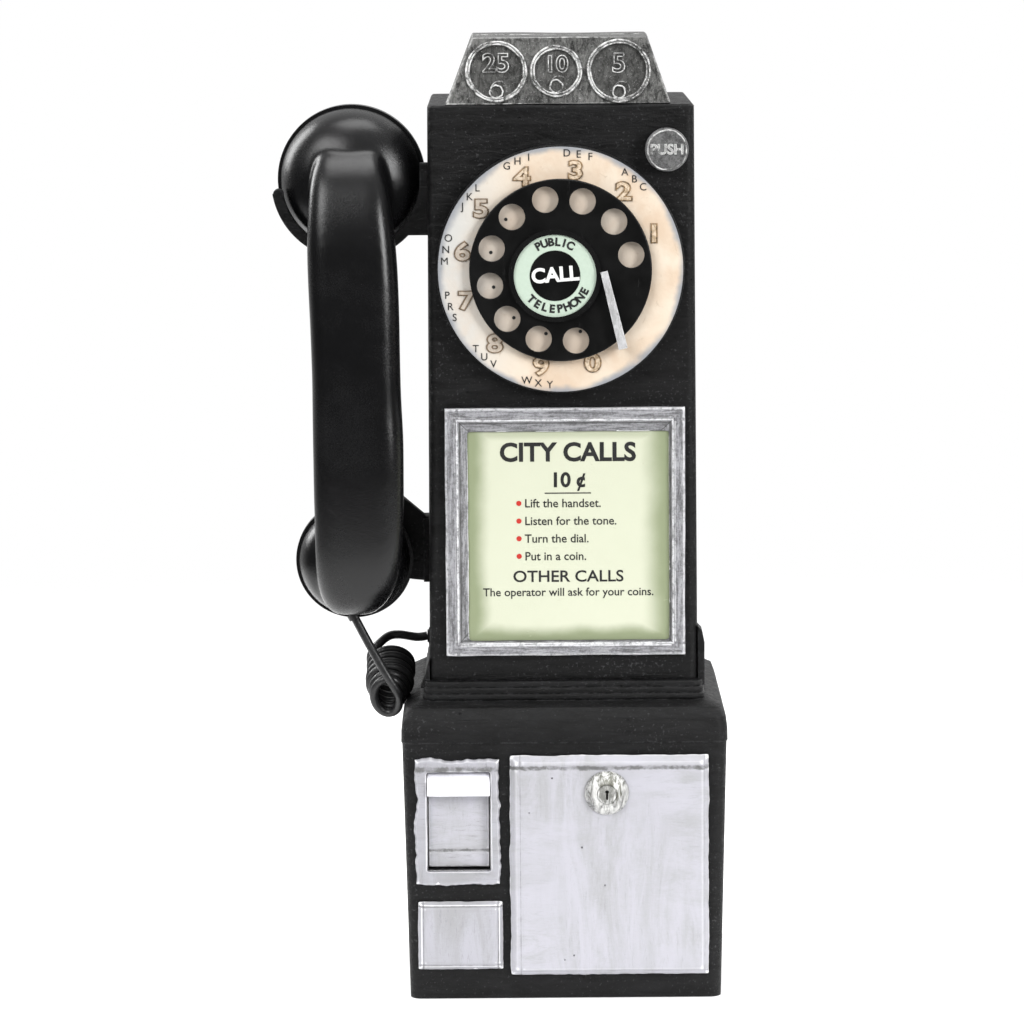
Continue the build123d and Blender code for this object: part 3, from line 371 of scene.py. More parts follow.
def aged_silver():
    """Dark antique silver, bright on whatever stands out (partly rubbed wear, partly a painted highlight),
    darker inside the three coin rings.
    """
    look = Look("aged_silver")
    brushed = look.noise(520, 8, 0.80, 0.8, stretch=(1.0, 1.0, 0.4))
    blotch = look.noise(90, 7, 0.72, 0.8)
    tone = look.span(look.weighted(brushed, 0.62, blotch, 0.38), 0.41, 0.60)
    base = look.mix(tone, (0.012, 0.012, 0.011), (0.175, 0.175, 0.168))
    low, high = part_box("coin_head")
    inside = None
    for x, radius in RINGS:
        away = look.flat_distance((low.x + high.x) / 2 + x * MM, low.z + RING_RISE * MM)
        disc = look.span(away, (radius - 0.5) * MM, (radius - 1.6) * MM, 0.0, 1.0)
        inside = disc if inside is None else look.most(inside, disc)
    base = look.mix(look.times(inside, 0.50), base, (0.018, 0.018, 0.016))
    specks = look.span(look.noise(1300, 4, 0.7), 0.60, 0.68)
    # Crests painted bright: partly rubbed wear, partly a painted highlight.
    rub_and_highlight = look.times(look.crest(), look.span(look.noise(330, 6, 0.75), 0.38, 0.62, 0.0, 0.9))
    rub_and_highlight = look.most(rub_and_highlight, look.times(specks, 0.30))
    color = look.mix(rub_and_highlight, base, (0.80, 0.80, 0.79))
    color = look.mix(look.times(look.trough(), 0.8), color, (0.012, 0.012, 0.012))
    height = look.plus(brushed, look.times(look.noise(1100, 3), 0.4))
    rough = look.span(brushed, 0.3, 0.7, 0.26, 0.52)
    return look.finish(color, rough, 0.35, look.bump(height, 0.0008))


def brushed_silver(name, stretch, dark, bright):
    """Silver paint, coarsely brushed, with ridges and edges painted bright (partly rubbed wear, partly a
    painted highlight) and black left in the hollows.
    """
    look = Look(name)
    edge, soft = look.edge(0.0008, 0.008, 0.10)
    brushed = look.noise(620, 8, 0.80, 0.5, stretch=stretch)
    blotch = look.noise(110, 6, 0.72, 0.5)
    tone = look.span(look.weighted(brushed, 0.65, blotch, 0.35), 0.40, 0.60)
    base = look.mix(tone, dark, bright)
    hollow = look.span(look.plus(look.noise(240, 7, 0.75, 0.6), look.times(brushed, 0.35)), 0.58, 0.50)
    base = look.mix(look.times(hollow, 0.6), base, (0.06, 0.06, 0.065))
    # Edges painted bright: partly rubbed wear, partly a painted highlight.
    rub_and_highlight = look.times(edge, look.span(look.noise(520, 5, 0.7), 0.36, 0.52))
    color = look.mix(look.times(rub_and_highlight, 0.9), base, (0.93, 0.93, 0.94))
    rough = look.span(brushed, 0.3, 0.7, 0.36, 0.55)
    return look.finish(color, rough, 0.15, look.bump(brushed, 0.0007, soft))


def mitred_silver():
    """The card's frame: grey silver brushed along each side, with mitred corners, a painted shade line on
    the slope inside its flat band and a painted highlight line along the band's inner edge.
    """
    look = Look("mitred_silver")
    low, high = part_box("card_frame")
    centre, half = (low + high) / 2, (high - low) / 2
    across = look.minus(look.off(look.axis("X"), centre.x), half.x)
    along = look.minus(look.off(look.axis("Z"), centre.z), half.z)
    depth = look.times(look.most(across, along), -1.0)
    lean = look.minus(across, along)
    upright = look.span(lean, -0.0004, 0.0004)
    flat_strokes = look.noise(760, 8, 0.80, 0.4, stretch=(0.10, 1.0, 1.0), turn=(0, 0.04, 0))
    tall_strokes = look.noise(760, 8, 0.80, 0.4, stretch=(1.0, 1.0, 0.10), turn=(0, 0.05, 0))
    strokes = look.choose(upright, flat_strokes, tall_strokes)
    grain = look.noise(900, 5, 0.7, 0.4)
    tone = look.span(look.weighted(strokes, 0.75, grain, 0.25), 0.40, 0.60)
    base = look.mix(tone, (0.11, 0.11, 0.115), (0.42, 0.42, 0.445))
    hollow = look.span(look.noise(190, 7, 0.78, 0.8), 0.66, 0.72)
    base = look.mix(look.times(hollow, 0.75), base, (0.03, 0.03, 0.03))
    wander = look.span(look.noise(140, 5, 0.7), 0.3, 0.7, -0.00022, 0.00022)
    worn = look.span(look.noise(300, 6, 0.75), 0.36, 0.54, 0.15, 0.95)

    def line(place, width):
        return look.span(look.plus(look.off(depth, place), wander), width, width * 0.3)

    inside = look.span(depth, FRAME_BAND, FRAME_BAND + 0.0006)
    # A dark line just inside the flat band: painted shade on the inward slope.
    base = look.mix(look.times(line(FRAME_BAND + 0.0012, 0.0007), 0.7), base, (0.05, 0.05, 0.05))
    mitre = look.span(look.plus(look.math("ABSOLUTE", lean), wander), 0.0005, 0.0001)
    base = look.mix(look.times(look.times(mitre, inside), 0.8), base, (0.05, 0.05, 0.05))
    # Crests and the band's inner edge painted bright: a painted highlight, broken up by wear.
    rub_and_highlight = look.most(look.crest(), line(FRAME_BAND, 0.0005))
    color = look.mix(look.times(rub_and_highlight, worn), base, (0.86, 0.86, 0.88))
    color = look.mix(look.times(look.trough(), 0.6), color, (0.03, 0.03, 0.032))
    return look.finish(color, look.span(strokes, 0.3, 0.7, 0.36, 0.55), 0.15, look.bump(strokes, 0.0008))


def rubbed_silver(name, dark, bright):
    """Raised marks in antique silver: bright where rubbed, nearly black between."""
    look = Look(name)
    worn = look.noise(420, 7, 0.8, 0.6)
    broad = look.noise(95, 4, 0.6, 0.4, shift=(0.2, 0.5, 0.1))
    share = look.span(look.weighted(worn, 0.6, broad, 0.4), 0.42, 0.56)
    color = look.mix(share, dark, bright)
    return look.finish(color, look.span(worn, 0.3, 0.7, 0.30, 0.5), 0.3, look.bump(worn, 0.0004))


def panel_silver(name, tint=1.0, lines=(), grime=0.35, slant=0.25):
    """Pale lavender silver brushed on by hand two ways, with painted shade along its grooves and gaps, a
    painted highlight on its crests and darker creases.

    Each line of painted shade is (axis, place, width, darkness).
    """
    look = Look(name)
    edge = look.crest(0.512, 0.55)
    level = look.noise(48, 8, 0.64, 1.2, stretch=(0.40, 1.0, 1.7), turn=(0, slant, 0))
    upright = look.noise(48, 8, 0.64, 1.2, stretch=(1.7, 1.0, 0.34), turn=(0, -slant * 0.6, 0))
    patch = look.span(look.noise(17, 2, 0.5, 0.6), 0.38, 0.62)
    strokes = look.choose(patch, level, upright)
    fine = look.noise(1300, 5, 0.75, 0.4, stretch=(0.35, 1.0, 1.0), turn=(0, slant, 0))
    tone = look.span(look.weighted(strokes, 0.8, fine, 0.2), 0.36, 0.60)

    def tinted(*color):
        return tuple(part * tint for part in color)

    base = look.mix(tone, tinted(0.50, 0.50, 0.52), tinted(0.62, 0.615, 0.675))
    cloud = look.span(look.noise(26, 3, 0.5, 0.5, shift=(0.7, 0, 0.2)), 0.46, 0.62)
    base = look.mix(look.times(cloud, 0.55), base, tinted(0.605, 0.60, 0.66))
    across = look.noise(1100, 6, 0.8, 0.5, stretch=(0.12, 1.0, 1.0), turn=(0, slant, 0))
    down = look.noise(1100, 6, 0.8, 0.5, stretch=(1.0, 1.0, 0.12), turn=(0, -slant * 0.6, 0))
    bristle = look.choose(patch, look.span(across, 0.53, 0.68), look.span(down, 0.53, 0.68))
    base = look.mix(look.times(bristle, 0.6 * grime + 0.1), base, tinted(0.26, 0.26, 0.26))
    dirt = look.span(look.noise(1500, 5, 0.75, 0.5), 0.60, 0.70)
    near = look.span(look.noise(60, 4, 0.6, 0.5), 0.42, 0.62)
    base = look.mix(look.times(look.times(dirt, near), grime), base, (0.16, 0.16, 0.16))
    # Crests painted pale: a painted highlight.
    color = look.mix(look.times(edge, 0.8), base, (0.88, 0.88, 0.90))
    color = look.mix(look.times(look.trough(), 0.55), color, (0.10, 0.10, 0.10))
    pits = look.pits(150, 0.085, shift=(0.3, 0.1, 0.2))
    color = look.mix(pits, color, (0.09, 0.09, 0.10))
    height = look.plus(strokes, look.times(fine, 0.25))
    # Dark lines along the grooves and gaps: painted shade, its strength made uneven by noise.
    for axis, at, width, dark in lines:
        away = look.off(look.axis(axis), at)
        fray = look.span(look.noise(240, 6, 0.75), 0.3, 0.7, -width * 0.35, width * 0.35)
        line = look.span(look.plus(away, fray), width, width * 0.3)
        worn = look.span(look.noise(170, 5, 0.7, 0.4), 0.36, 0.6, dark * 0.25, dark)
        color = look.mix(look.times(line, worn), color, (0.13, 0.13, 0.13))
    height = look.minus(height, look.times(pits, 1.2))
    return look.finish(color, look.span(fine, 0.3, 0.7, 0.44, 0.60), 0.05, look.bump(height, 0.0004))


def lock_silver(name, shade):
    """The lock's dome: streaked bright silver, with a dark olive patch above its middle."""
    look = Look(name)
    low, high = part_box("lock_boss")
    centre, radius = (low + high) / 2, (high.x - low.x) / 2
    streak = look.noise(330, 6, 0.7, 0.9, stretch=(1.3, 1.0, 0.30), turn=(0, -0.35, 0))
    away = look.flat_distance(centre.x + radius * 0.05, centre.z + radius * 0.36)
    reach = look.plus(away, look.span(streak, 0.3, 0.7, -radius * 0.55, radius * 0.55))
    dark = look.span(reach, radius * 0.62, radius * 0.22)
    base = look.mix(look.span(streak, 0.40, 0.60), (0.26, 0.26, 0.255), (0.70, 0.70, 0.68))
    color = look.mix(look.times(dark, shade), base, (0.14, 0.14, 0.105))
    return look.finish(color, look.span(streak, 0.3, 0.7, 0.24, 0.42), 0.3, look.bump(streak, 0.0006))


def dial_cream():
    """Cream enamel with peach clouds, cooler at the left, with painted shade on the rim and behind the
    wheel.
    """
    look = Look("dial_cream")
    soft = look.edge(0.0008)[1]
    low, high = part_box("number_plate")
    centre = (low + high) / 2
    side = look.span(look.axis("X"), centre.x - 0.052, centre.x - 0.012, 1.0, 0.0)
    cloud = look.noise(38, 5, 0.6, 0.4)
    cool = look.times(side, look.span(cloud, 0.30, 0.62, 0.5, 1.0))
    base = look.mix(look.span(cloud, 0.35, 0.65), (0.66, 0.52, 0.39), (0.74, 0.64, 0.52))
    color = look.mix(cool, base, (0.56, 0.56, 0.54))
    away = look.node("ShaderNodeVectorMath", operation="DISTANCE")
    look.feed(look.coordinates, away.inputs[0])
    away.inputs[1].default_value = (centre.x, low.y, centre.z)
    distance = away.outputs["Value"]
    # Behind the finger wheel the plate is painted duller: partly its own tone, partly painted shade under
    # the wheel.
    color = look.mix(look.span(distance, 0.0372, 0.0366, 0.0, 0.45), color, (0.50, 0.45, 0.40))
    # A darker grey ring at the rim: painted shade on the sloping rim.
    ragged = look.span(look.noise(60, 4), 0.3, 0.7, -0.0012, 0.0012)
    rim = look.span(look.plus(distance, ragged), 0.0490, 0.0526)
    color = look.mix(rim, color, (0.30, 0.31, 0.33))
    dirt = look.span(look.noise(210, 6, 0.7, 0.6), 0.60, 0.72)
    color = look.mix(look.times(dirt, 0.35), color, (0.42, 0.31, 0.20))
    height = look.noise(160, 4)
    return look.finish(color, look.span(cloud, 0.3, 0.7, 0.36, 0.5), normal=look.bump(height, 0.0003, soft))


def wheel_black():
    look = Look("wheel_black")
    edge, soft = look.edge(0.0005)
    haze = look.noise(70, 5, 0.6)
    scratches = look.span(look.noise(300, 8, 0.75, 1.5, stretch=(1, 1, 0.2)), 0.62, 0.70)
    base = look.mix(haze, (0.0012, 0.0012, 0.0012), (0.004, 0.004, 0.004))
    # Edges painted grey: a painted highlight.
    color = look.mix(look.times(edge, 0.18), base, (0.10, 0.10, 0.105))
    look.shader.inputs["Specular IOR Level"].default_value = 0.25
    rough = look.plus(look.span(haze, 0.3, 0.7, 0.30, 0.42), look.times(scratches, 0.2))
    return look.finish(color, rough, normal=look.bump(scratches, 0.00006, soft))


def retainer_black():
    """Polished black, with a few hairline scratches."""
    look = Look("retainer_black")
    scratches = look.span(look.noise(500, 8, 0.8, 1.0, stretch=(1, 1, 0.3)), 0.62, 0.70)
    base = look.mix(look.noise(120, 4), (0.003, 0.003, 0.003), (0.010, 0.010, 0.010))
    rough = look.plus(look.span(look.noise(60, 3), 0.3, 0.7, 0.08, 0.16), look.times(scratches, 0.2))
    return look.finish(base, rough, normal=look.bump(scratches, 0.00005))


def handset_black():
    """Glossy black moulding, speckled where it has worn, with pinholes."""
    look = Look("handset_black")
    speckle = look.noise(1500, 4, 0.7)
    soft = look.noise(30, 4, 0.6)
    pits = look.pits(85, 0.055, shift=(0.4, 0.2, 0.1))
    base = look.mix(soft, (0.0025, 0.0025, 0.0027), (0.006, 0.006, 0.0065))
    rough = look.plus(look.span(soft, 0.35, 0.65, 0.16, 0.26), look.span(speckle, 0.35, 0.65, 0.0, 0.08))
    height = look.minus(look.times(speckle, 0.22), look.times(pits, 1.6))
    look.shader.inputs["Specular IOR Level"].default_value = 0.38
    return look.finish(base, rough, normal=look.bump(height, 0.0003))


def rubber_black():
    look = Look("rubber_black")
    grain = look.noise(900, 4, 0.6)
    color = look.mix(look.noise(150, 3), (0.005, 0.005, 0.005), (0.016, 0.016, 0.017))
    return look.finish(color, look.span(grain, 0.3, 0.7, 0.32, 0.46), normal=look.bump(grain, 0.0001))


def card_green():
    """A pale green card whose printed vignette darkens to olive at its borders, most at the sides."""
    look = Look("card_green")
    low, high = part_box("instruction_card")
    wobble = look.span(look.noise(38, 4, 0.5), 0.3, 0.7, -0.0012, 0.0012)
    x, z = look.axis("X"), look.axis("Z")
    left = look.span(look.plus(look.minus(x, low.x), wobble), 0.0040, 0.0120, 1.0, 0.0)
    right = look.span(look.plus(look.minus(high.x, x), wobble), 0.0030, 0.0150, 1.0, 0.0)
    foot = look.span(look.plus(look.minus(z, low.z), wobble), 0.0035, 0.0100, 1.0, 0.0)
    head = look.span(look.minus(high.z, z), 0.0030, 0.0062, 0.45, 0.0)
    border = look.most(look.most(left, right), look.most(foot, head))
    paper = look.mix(look.noise(20, 4), (0.56, 0.585, 0.445), (0.63, 0.645, 0.515))
    color = look.mix(look.times(border, 0.85), paper, (0.20, 0.24, 0.125))
    scuff = look.span(look.noise(130, 6, 0.7, 1.5, stretch=(0.4, 1, 1.6)), 0.66, 0.74)
    color = look.mix(look.times(look.times(scuff, border), 0.6), color, (0.62, 0.68, 0.48))
    fibre = look.noise(1800, 3)
    height = look.plus(fibre, look.times(scuff, 1.5))
    look.shader.inputs["Specular IOR Level"].default_value = 0.3
    return look.finish(color, look.span(fibre, 0.3, 0.7, 0.42, 0.55), normal=look.bump(height, 0.00006))


def numeral_paint(name, dark, light):
    """Brown-gold paint rubbed over the raised dial numbers, greyer towards the left of the dial."""
    look = Look(name)
    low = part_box("number_plate")[0]
    worn = look.noise(420, 6, 0.75, 0.5)
    color = look.mix(look.span(worn, 0.40, 0.60), dark, light)
    left = look.span(look.axis("X"), low.x + 0.020, low.x + 0.042, 0.75, 0.0)
    color = look.mix(left, color, tuple(0.7 * sum(dark) / 3 + 0.3 * c for c in light))
    return look.finish(color, look.span(worn, 0.3, 0.7, 0.35, 0.55), normal=look.bump(worn, 0.0003))


def print_ink(name, dark, light):
    look = Look(name)
    color = look.mix(look.noise(700, 3), dark, light)
    return look.finish(color, look.span(look.noise(500, 2), 0.3, 0.7, 0.4, 0.55))


def plain_metal(name, dark, light):
    """Inner sheet metal, turned metal and brass: fine scratches, a little tarnish and a painted highlight
    on the edges.
    """
    look = Look(name)
    edge, soft = look.edge(0.0005)
    scratch = look.noise(420, 6, 0.7, 0.4, stretch=(1, 1, 0.3))
    tarnish = look.noise(45, 5, 0.6, 0.6)
    base = look.mix(look.span(look.plus(scratch, tarnish), 0.75, 1.3), dark, light)
    # Edges painted light: a painted highlight.
    color = look.mix(look.times(edge, 0.5), base, light)
    rough = look.span(scratch, 0.3, 0.7, 0.28, 0.48)
    return look.finish(color, rough, 0.9, look.bump(scratch, 0.00012, soft))


def insulator():
    look = Look("insulator")
    grain = look.noise(300, 6, 0.65, 0.8)
    color = look.mix(grain, (0.035, 0.02, 0.012), (0.11, 0.065, 0.035))
    return look.finish(color, 0.5, normal=look.bump(grain, 0.0001))


def coil_wrap():
    look = Look("coil_wrap")
    wave = look.node("ShaderNodeTexWave", bands_direction="X")
    look.feed(look.coordinates, wave.inputs["Vector"])
    wave.inputs["Scale"].default_value = 320.0
    bands = wave.outputs["Fac"]
    color = look.mix(bands, (0.12, 0.03, 0.012), (0.38, 0.14, 0.05))
    rough = look.span(look.noise(200, 3), 0.3, 0.7, 0.25, 0.4)
    return look.finish(color, rough, 0.3, look.bump(bands, 0.0002))


# ---------------- building pieces
def wear(mesh, material):
    mesh.materials.clear()
    mesh.materials.append(material)
    for polygon in mesh.polygons:
        polygon.material_index = 0


def new_piece(name, mesh, body, material, slot, *nodes):
    piece = placed(name, mesh)
    wear(mesh, material)
    if body:
        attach(piece, body)
    if nodes:
        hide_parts(*nodes)
    return piece


def evaluated(thing):
    bpy.context.view_layer.update()
    graph = bpy.context.evaluated_depsgraph_get()
    return bpy.data.meshes.new_from_object(thing.evaluated_get(graph))


def soft_cast(
    node, voxel, smooth_steps, wander=0.0, per_metre=60.0, ragged=0.0, reach=0.003, proud=0.3, grooves=()
):
    """A CAD node's mesh as a casting: softened edges, a surface and borders that wander, and grooves.

    Each groove is (axis number, place, width, depth).
    """
    thing = placed(node + "_work", NODES[node].data.copy())
    remesh = thing.modifiers.new("remesh", "REMESH")
    remesh.mode = "VOXEL"
    remesh.voxel_size = voxel
    if smooth_steps:
        smooth = thing.modifiers.new("smooth", "SMOOTH")
        smooth.factor = 0.5
        smooth.iterations = smooth_steps
    mesh = evaluated(thing)
    bpy.data.objects.remove(thing)
    low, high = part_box(node)
    normals = [vertex.normal.copy() for vertex in mesh.vertices]
    for vertex, normal in zip(mesh.vertices, normals):
        at = vertex.co.copy()
        if wander:
            vertex.co -= normal * (wander * (0.5 + 0.5 * noise.noise(at * per_metre)))
        if ragged and at.y < low.y + PANEL_DEPTH:
            for axis in (0, 2):
                for border, sign in ((low[axis], 1), (high[axis], -1)):
                    gap = (at[axis] - border) * sign
                    if gap < reach:
                        along = at[2 - axis]
                        bite = 0.5 + 0.42 * noise.noise(Vector((along * 85.0, border * 900.0, 0.0)))
                        bite += 0.18 * noise.noise(Vector((along * 320.0, border * 700.0, 3.0))) - proud
                        vertex.co[axis] += sign * ragged * bite * (1.0 - max(gap, 0.0) / reach)
        if normal.y < -0.6:
            for axis, place, width, depth in grooves:
                vertex.co.y += depth * math.exp(-(((at[axis] - place) / width) ** 2))
    mesh.polygons.foreach_set("use_smooth", [True] * len(mesh.polygons))
    return mesh


def text_mesh(
    words, size, at, extrude=0.0, heavy=0.0, bevel=0.0, turn=0.0, align="CENTER", wide=1.0, outline=False
):
    """Letters standing on a plane that faces the viewer; at is the middle of the word."""
    curve = bpy.data.curves.new("letters", "FONT")
    curve.body = words
    curve.size = size
    curve.align_x = align
    curve.align_y = "CENTER"
    curve.extrude = extrude
    curve.offset = heavy
    curve.bevel_depth = bevel
    curve.bevel_resolution = 1
    curve.resolution_u = 4
    if outline:
        curve.fill_mode = "NONE"
    thing = placed("letters", curve)
    mesh = evaluated(thing)
    stand_up = Matrix.Rotation(math.pi / 2, 4, "X") @ Matrix.Diagonal((wide, 1.0, 1.0, 1.0))
    mesh.transform(Matrix.Translation(at) @ Matrix.Rotation(turn, 4, Vector((0, -1, 0))) @ stand_up)
    bpy.data.objects.remove(thing)
    bpy.data.curves.remove(curve)
    return mesh


def joined(name, meshes):
    whole = bmesh.new()
    for mesh in meshes:
        whole.from_mesh(mesh)
        bpy.data.meshes.remove(mesh)
    mesh = bpy.data.meshes.new(name)
    whole.to_mesh(mesh)
    whole.free()
    return mesh


def on_circle(centre, radius, angle):
    return centre[0] + radius * math.cos(angle), centre[1] + radius * math.sin(angle)


def join_piece(name, meshes, *rest):
    new_piece(name, joined(name, meshes), *rest)


def arc_text(words, radius, centre, middle_deg, step_deg, size, y, upright=False, inward=False, **more):
    """Letters round a circle that faces the viewer, one mesh for each letter."""
    meshes = []
    count = len(words)
    for index, letter in enumerate(words):
        if letter == " ":
            continue
        offset = (index - (count - 1) / 2) * step_deg
        angle = math.radians(middle_deg + (offset if inward else -offset))
        x, z = on_circle(centre, radius, angle)
        lean = angle + math.pi / 2 if inward else angle - math.pi / 2
        meshes.append(text_mesh(letter, size, (x, y, z), turn=0.0 if upright else lean, **more))
    return meshes


# ---------------- cord
CORD_D = 0.0038
HANDSET_RUN = [
    (-90.7, -33.2, 163.4), (-87.6, -34.6, 157.6), (-82.6, -37.0, 148.6), (-77.4, -39.2, 139.6),
    (-73.6, -38.4, 133.2),
]
HOUSING_RUN = [
    (-76.9, -7.4, 151.6), (-71.8, -6.8, 151.8), (-67.0, -6.2, 150.7), (-63.0, -5.7, 150.2),
    (-59.8, -5.5, 150.9),
]
COIL_NEAR, COIL_FAR = Vector(mm(-77.1, -35.6, 127.9)), Vector(mm(-75.6, -8.0, 140.2))
COIL_WIDE_NEAR, COIL_WIDE_FAR = 5.3 * MM, 9.0 * MM
COIL_TALL_NEAR, COIL_TALL_FAR = 8.0 * MM, 8.9 * MM
COIL_START, COIL_END = 18.0, 122.0 - 360.0 * 7
LAST_TURN_GROWS = 0.20


def coil_points():
    """The curly part, from the near end, clockwise and away from the viewer; its turns differ a little."""
    along = (COIL_FAR - COIL_NEAR).normalized()
    right = (Vector((1, 0, 0)) - along * along.x).normalized()
    up = along.cross(right)
    if up.z < 0:
        up = -up
    steps = 120
    points = []
    for index in range(steps + 1):
        share = index / steps
        angle = math.radians(COIL_START + share * (COIL_END - COIL_START))
        growth = LAST_TURN_GROWS * max(0.0, (share - 0.93) / 0.07) ** 2
        loose = 1.0 + 0.03 * math.sin(share * 17.0 + 0.6) + growth
        wide = (COIL_WIDE_NEAR + (COIL_WIDE_FAR - COIL_WIDE_NEAR) * min(1.0, share * 2.2)) * loose
        tall = (COIL_TALL_NEAR + (COIL_TALL_FAR - COIL_TALL_NEAR) * share) * loose
        beside = COIL_NEAR.lerp(COIL_FAR, share) + right * math.cos(angle) * wide
        points.append(beside + up * math.sin(angle) * tall)
    return points


def add_cord(material):
    route = [Vector(mm(*p)) for p in HANDSET_RUN] + coil_points() + [Vector(mm(*p)) for p in HOUSING_RUN]
    curve = bpy.data.curves.new("cord_line", "CURVE")
    curve.dimensions = "3D"
    spline = curve.splines.new("NURBS")
    spline.points.add(len(route) - 1)
    for point, co in zip(spline.points, route):
        point.co = (*co, 1.0)
    spline.order_u = 3
    spline.use_endpoint_u = True
    spline.resolution_u = 4
    thing = placed("cord_line", curve)
    line = evaluated(thing)
    curve.bevel_depth = CORD_D / 2
    curve.bevel_resolution = 3
    curve.use_fill_caps = True
    tube = evaluated(thing)
    bpy.data.objects.remove(thing)
    tube.polygons.foreach_set("use_smooth", [True] * len(tube.polygons))
    cord = new_piece(
        "curly_cord", tube, None, material, "cord_rubber", "cord_handset_run", "cord_coil",
        "cord_housing_run",
    )
    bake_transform(cord)


# ---------------- the object
def paint(material, *nodes):
    for node in nodes:
        wear(NODES[node].data, material)


def add_handset(material):
    mesh = soft_cast("handset_handle", 0.0009, 24, 0.00025, 45.0)
    new_piece("handset_body", mesh, "handset", material, "phenolic", "handset_handle")
    paint(material, "receiver_cap", "transmitter_cap")


def round_centre(node):
    low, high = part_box(node)
    return (low.x + high.x) / 2, (low.z + high.z) / 2


def add_dial(tan, ink, gold):
    centre = round_centre("number_plate")
    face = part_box("number_plate")[0].y
    raised, outlines = [], []
    for digit, degrees in DIGITS:
        x, z = on_circle(centre, DIGIT_CIRCLE, math.radians(degrees))
        at, behind = (x, face - 0.0003, z), (x, face - 0.0001, z)
        outlines.append(text_mesh(digit, DIGIT_SIZE, at, 0.0, 0.00034, 0.00032, wide=1.28, outline=True))
        raised.append(text_mesh(digit, DIGIT_SIZE, behind, 0.0003, 0.0003, 0.0001, wide=1.28))
    join_piece("dial_numeral_edges", outlines, "housing", gold, "brass")
    join_piece("dial_numerals", raised, "housing", tan, "dial_cream")
    letters = []
    for words, middle in LETTERS:
        backwards = middle > 150
        letters += arc_text(
            words, LETTER_CIRCLE, centre, middle, 5.8, LETTER_SIZE, face - 0.00005, upright=True,
            inward=backwards, extrude=0.00014,
        )
    join_piece("dial_letters", letters, "housing", ink, "insulator")
    dots = []
    for hole_deg, dx, dz in HOLE_DOTS:
        x, z = on_circle(centre, HOLE_CIRCLE, math.radians(hole_deg))
        dots.append(text_mesh("•", 0.0062, (x + dx * MM, face - 0.00004, z + dz * MM), 0.00006))
    join_piece("dial_dots", dots, "housing", ink, "insulator")


def add_dial_card(black, white, ink):
    centre = round_centre("number_card")
    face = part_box("number_card")[0].y
    disc = bpy.data.meshes.new("card_disc")
    build = bmesh.new()
    ring = bmesh.ops.create_cone(
        build, cap_ends=True, segments=96, radius1=DISC_RADIUS, radius2=DISC_RADIUS, depth=DISC_THICK
    )
    place, turn = (centre[0], face - 0.00006, centre[1]), Matrix.Rotation(math.pi / 2, 4, "X")
    bmesh.ops.transform(build, matrix=Matrix.Translation(place) @ turn, verts=ring["verts"])
    build.to_mesh(disc)
    build.free()
    new_piece("card_disc", disc, "dial", black, "black_enamel")
    name = text_mesh(
        "CALL", 0.0086, (centre[0], face - 0.0002, centre[1] + 0.0002), 0.00006, 0.00030,
        turn=math.radians(4),
    )
    new_piece("card_number", name, "dial", white, "card_green")
    ink_face, print_on = face - 0.00008, {"heavy": 0.00020, "extrude": 0.00006}
    words = arc_text("PUBLIC", WORD_CIRCLE, centre, 91, 11.4, WORD_SIZE, ink_face, **print_on)
    words += arc_text(
        "TELEPHONE", WORD_CIRCLE, centre, 278, 13.4, WORD_SIZE, ink_face, inward=True, **print_on
    )
    join_piece("card_words", words, "dial", ink, "insulator")


def add_instructions(ink, red):
    low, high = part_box("instruction_card")
    face = low.y - 0.00005
    middle = (low.x + high.x) / 2 - 0.0003
    top = high.z - 0.0029

    def line(words, size, drop, x=middle, align="CENTER", heavy=0.0, wide=1.0):
        return text_mesh(words, size, (x, face, top - drop), 0.00004, heavy, align=align, wide=wide)

    lines = [
        line("CITY CALLS", 0.0112, 0.0082, heavy=0.00034, wide=1.0),
        line("10 ¢", 0.0088, 0.0202, heavy=0.00026),
    ]
    left = middle - 0.0188
    dots = []
    steps = ("Lift the handset.", "Listen for the tone.", "Turn the dial.", "Put in a coin.")
    for index, words in enumerate(steps):
        drop = 0.0302 + 0.0077 * index
        lines.append(line(words, 0.0052, drop, left, "LEFT", heavy=0.00005, wide=0.98))
        dots.append(line("•", 0.0092, drop + 0.0002, left - 0.0024))
    lines.append(line("OTHER CALLS", 0.0070, 0.0622, heavy=0.0001, wide=1.08))
    lines.append(line("The operator will ask for your coins.", 0.0050, 0.0690, heavy=0.00005, wide=0.99))
    bar = bpy.data.meshes.new("bar")
    half, z, front = 0.0100, top - 0.0259, face - 0.00004
    corners = [
        (middle - half, front, z), (middle + half, front, z), (middle + half, front, z + 0.0005),
        (middle - half, front, z + 0.0005),
    ]
    bar.from_pydata(corners, [], [(0, 1, 2, 3)])
    lines.append(bar)
    join_piece("card_text", lines, "housing", ink, "insulator")
    join_piece("card_bullets", dots, "housing", red, "coil_wrap")


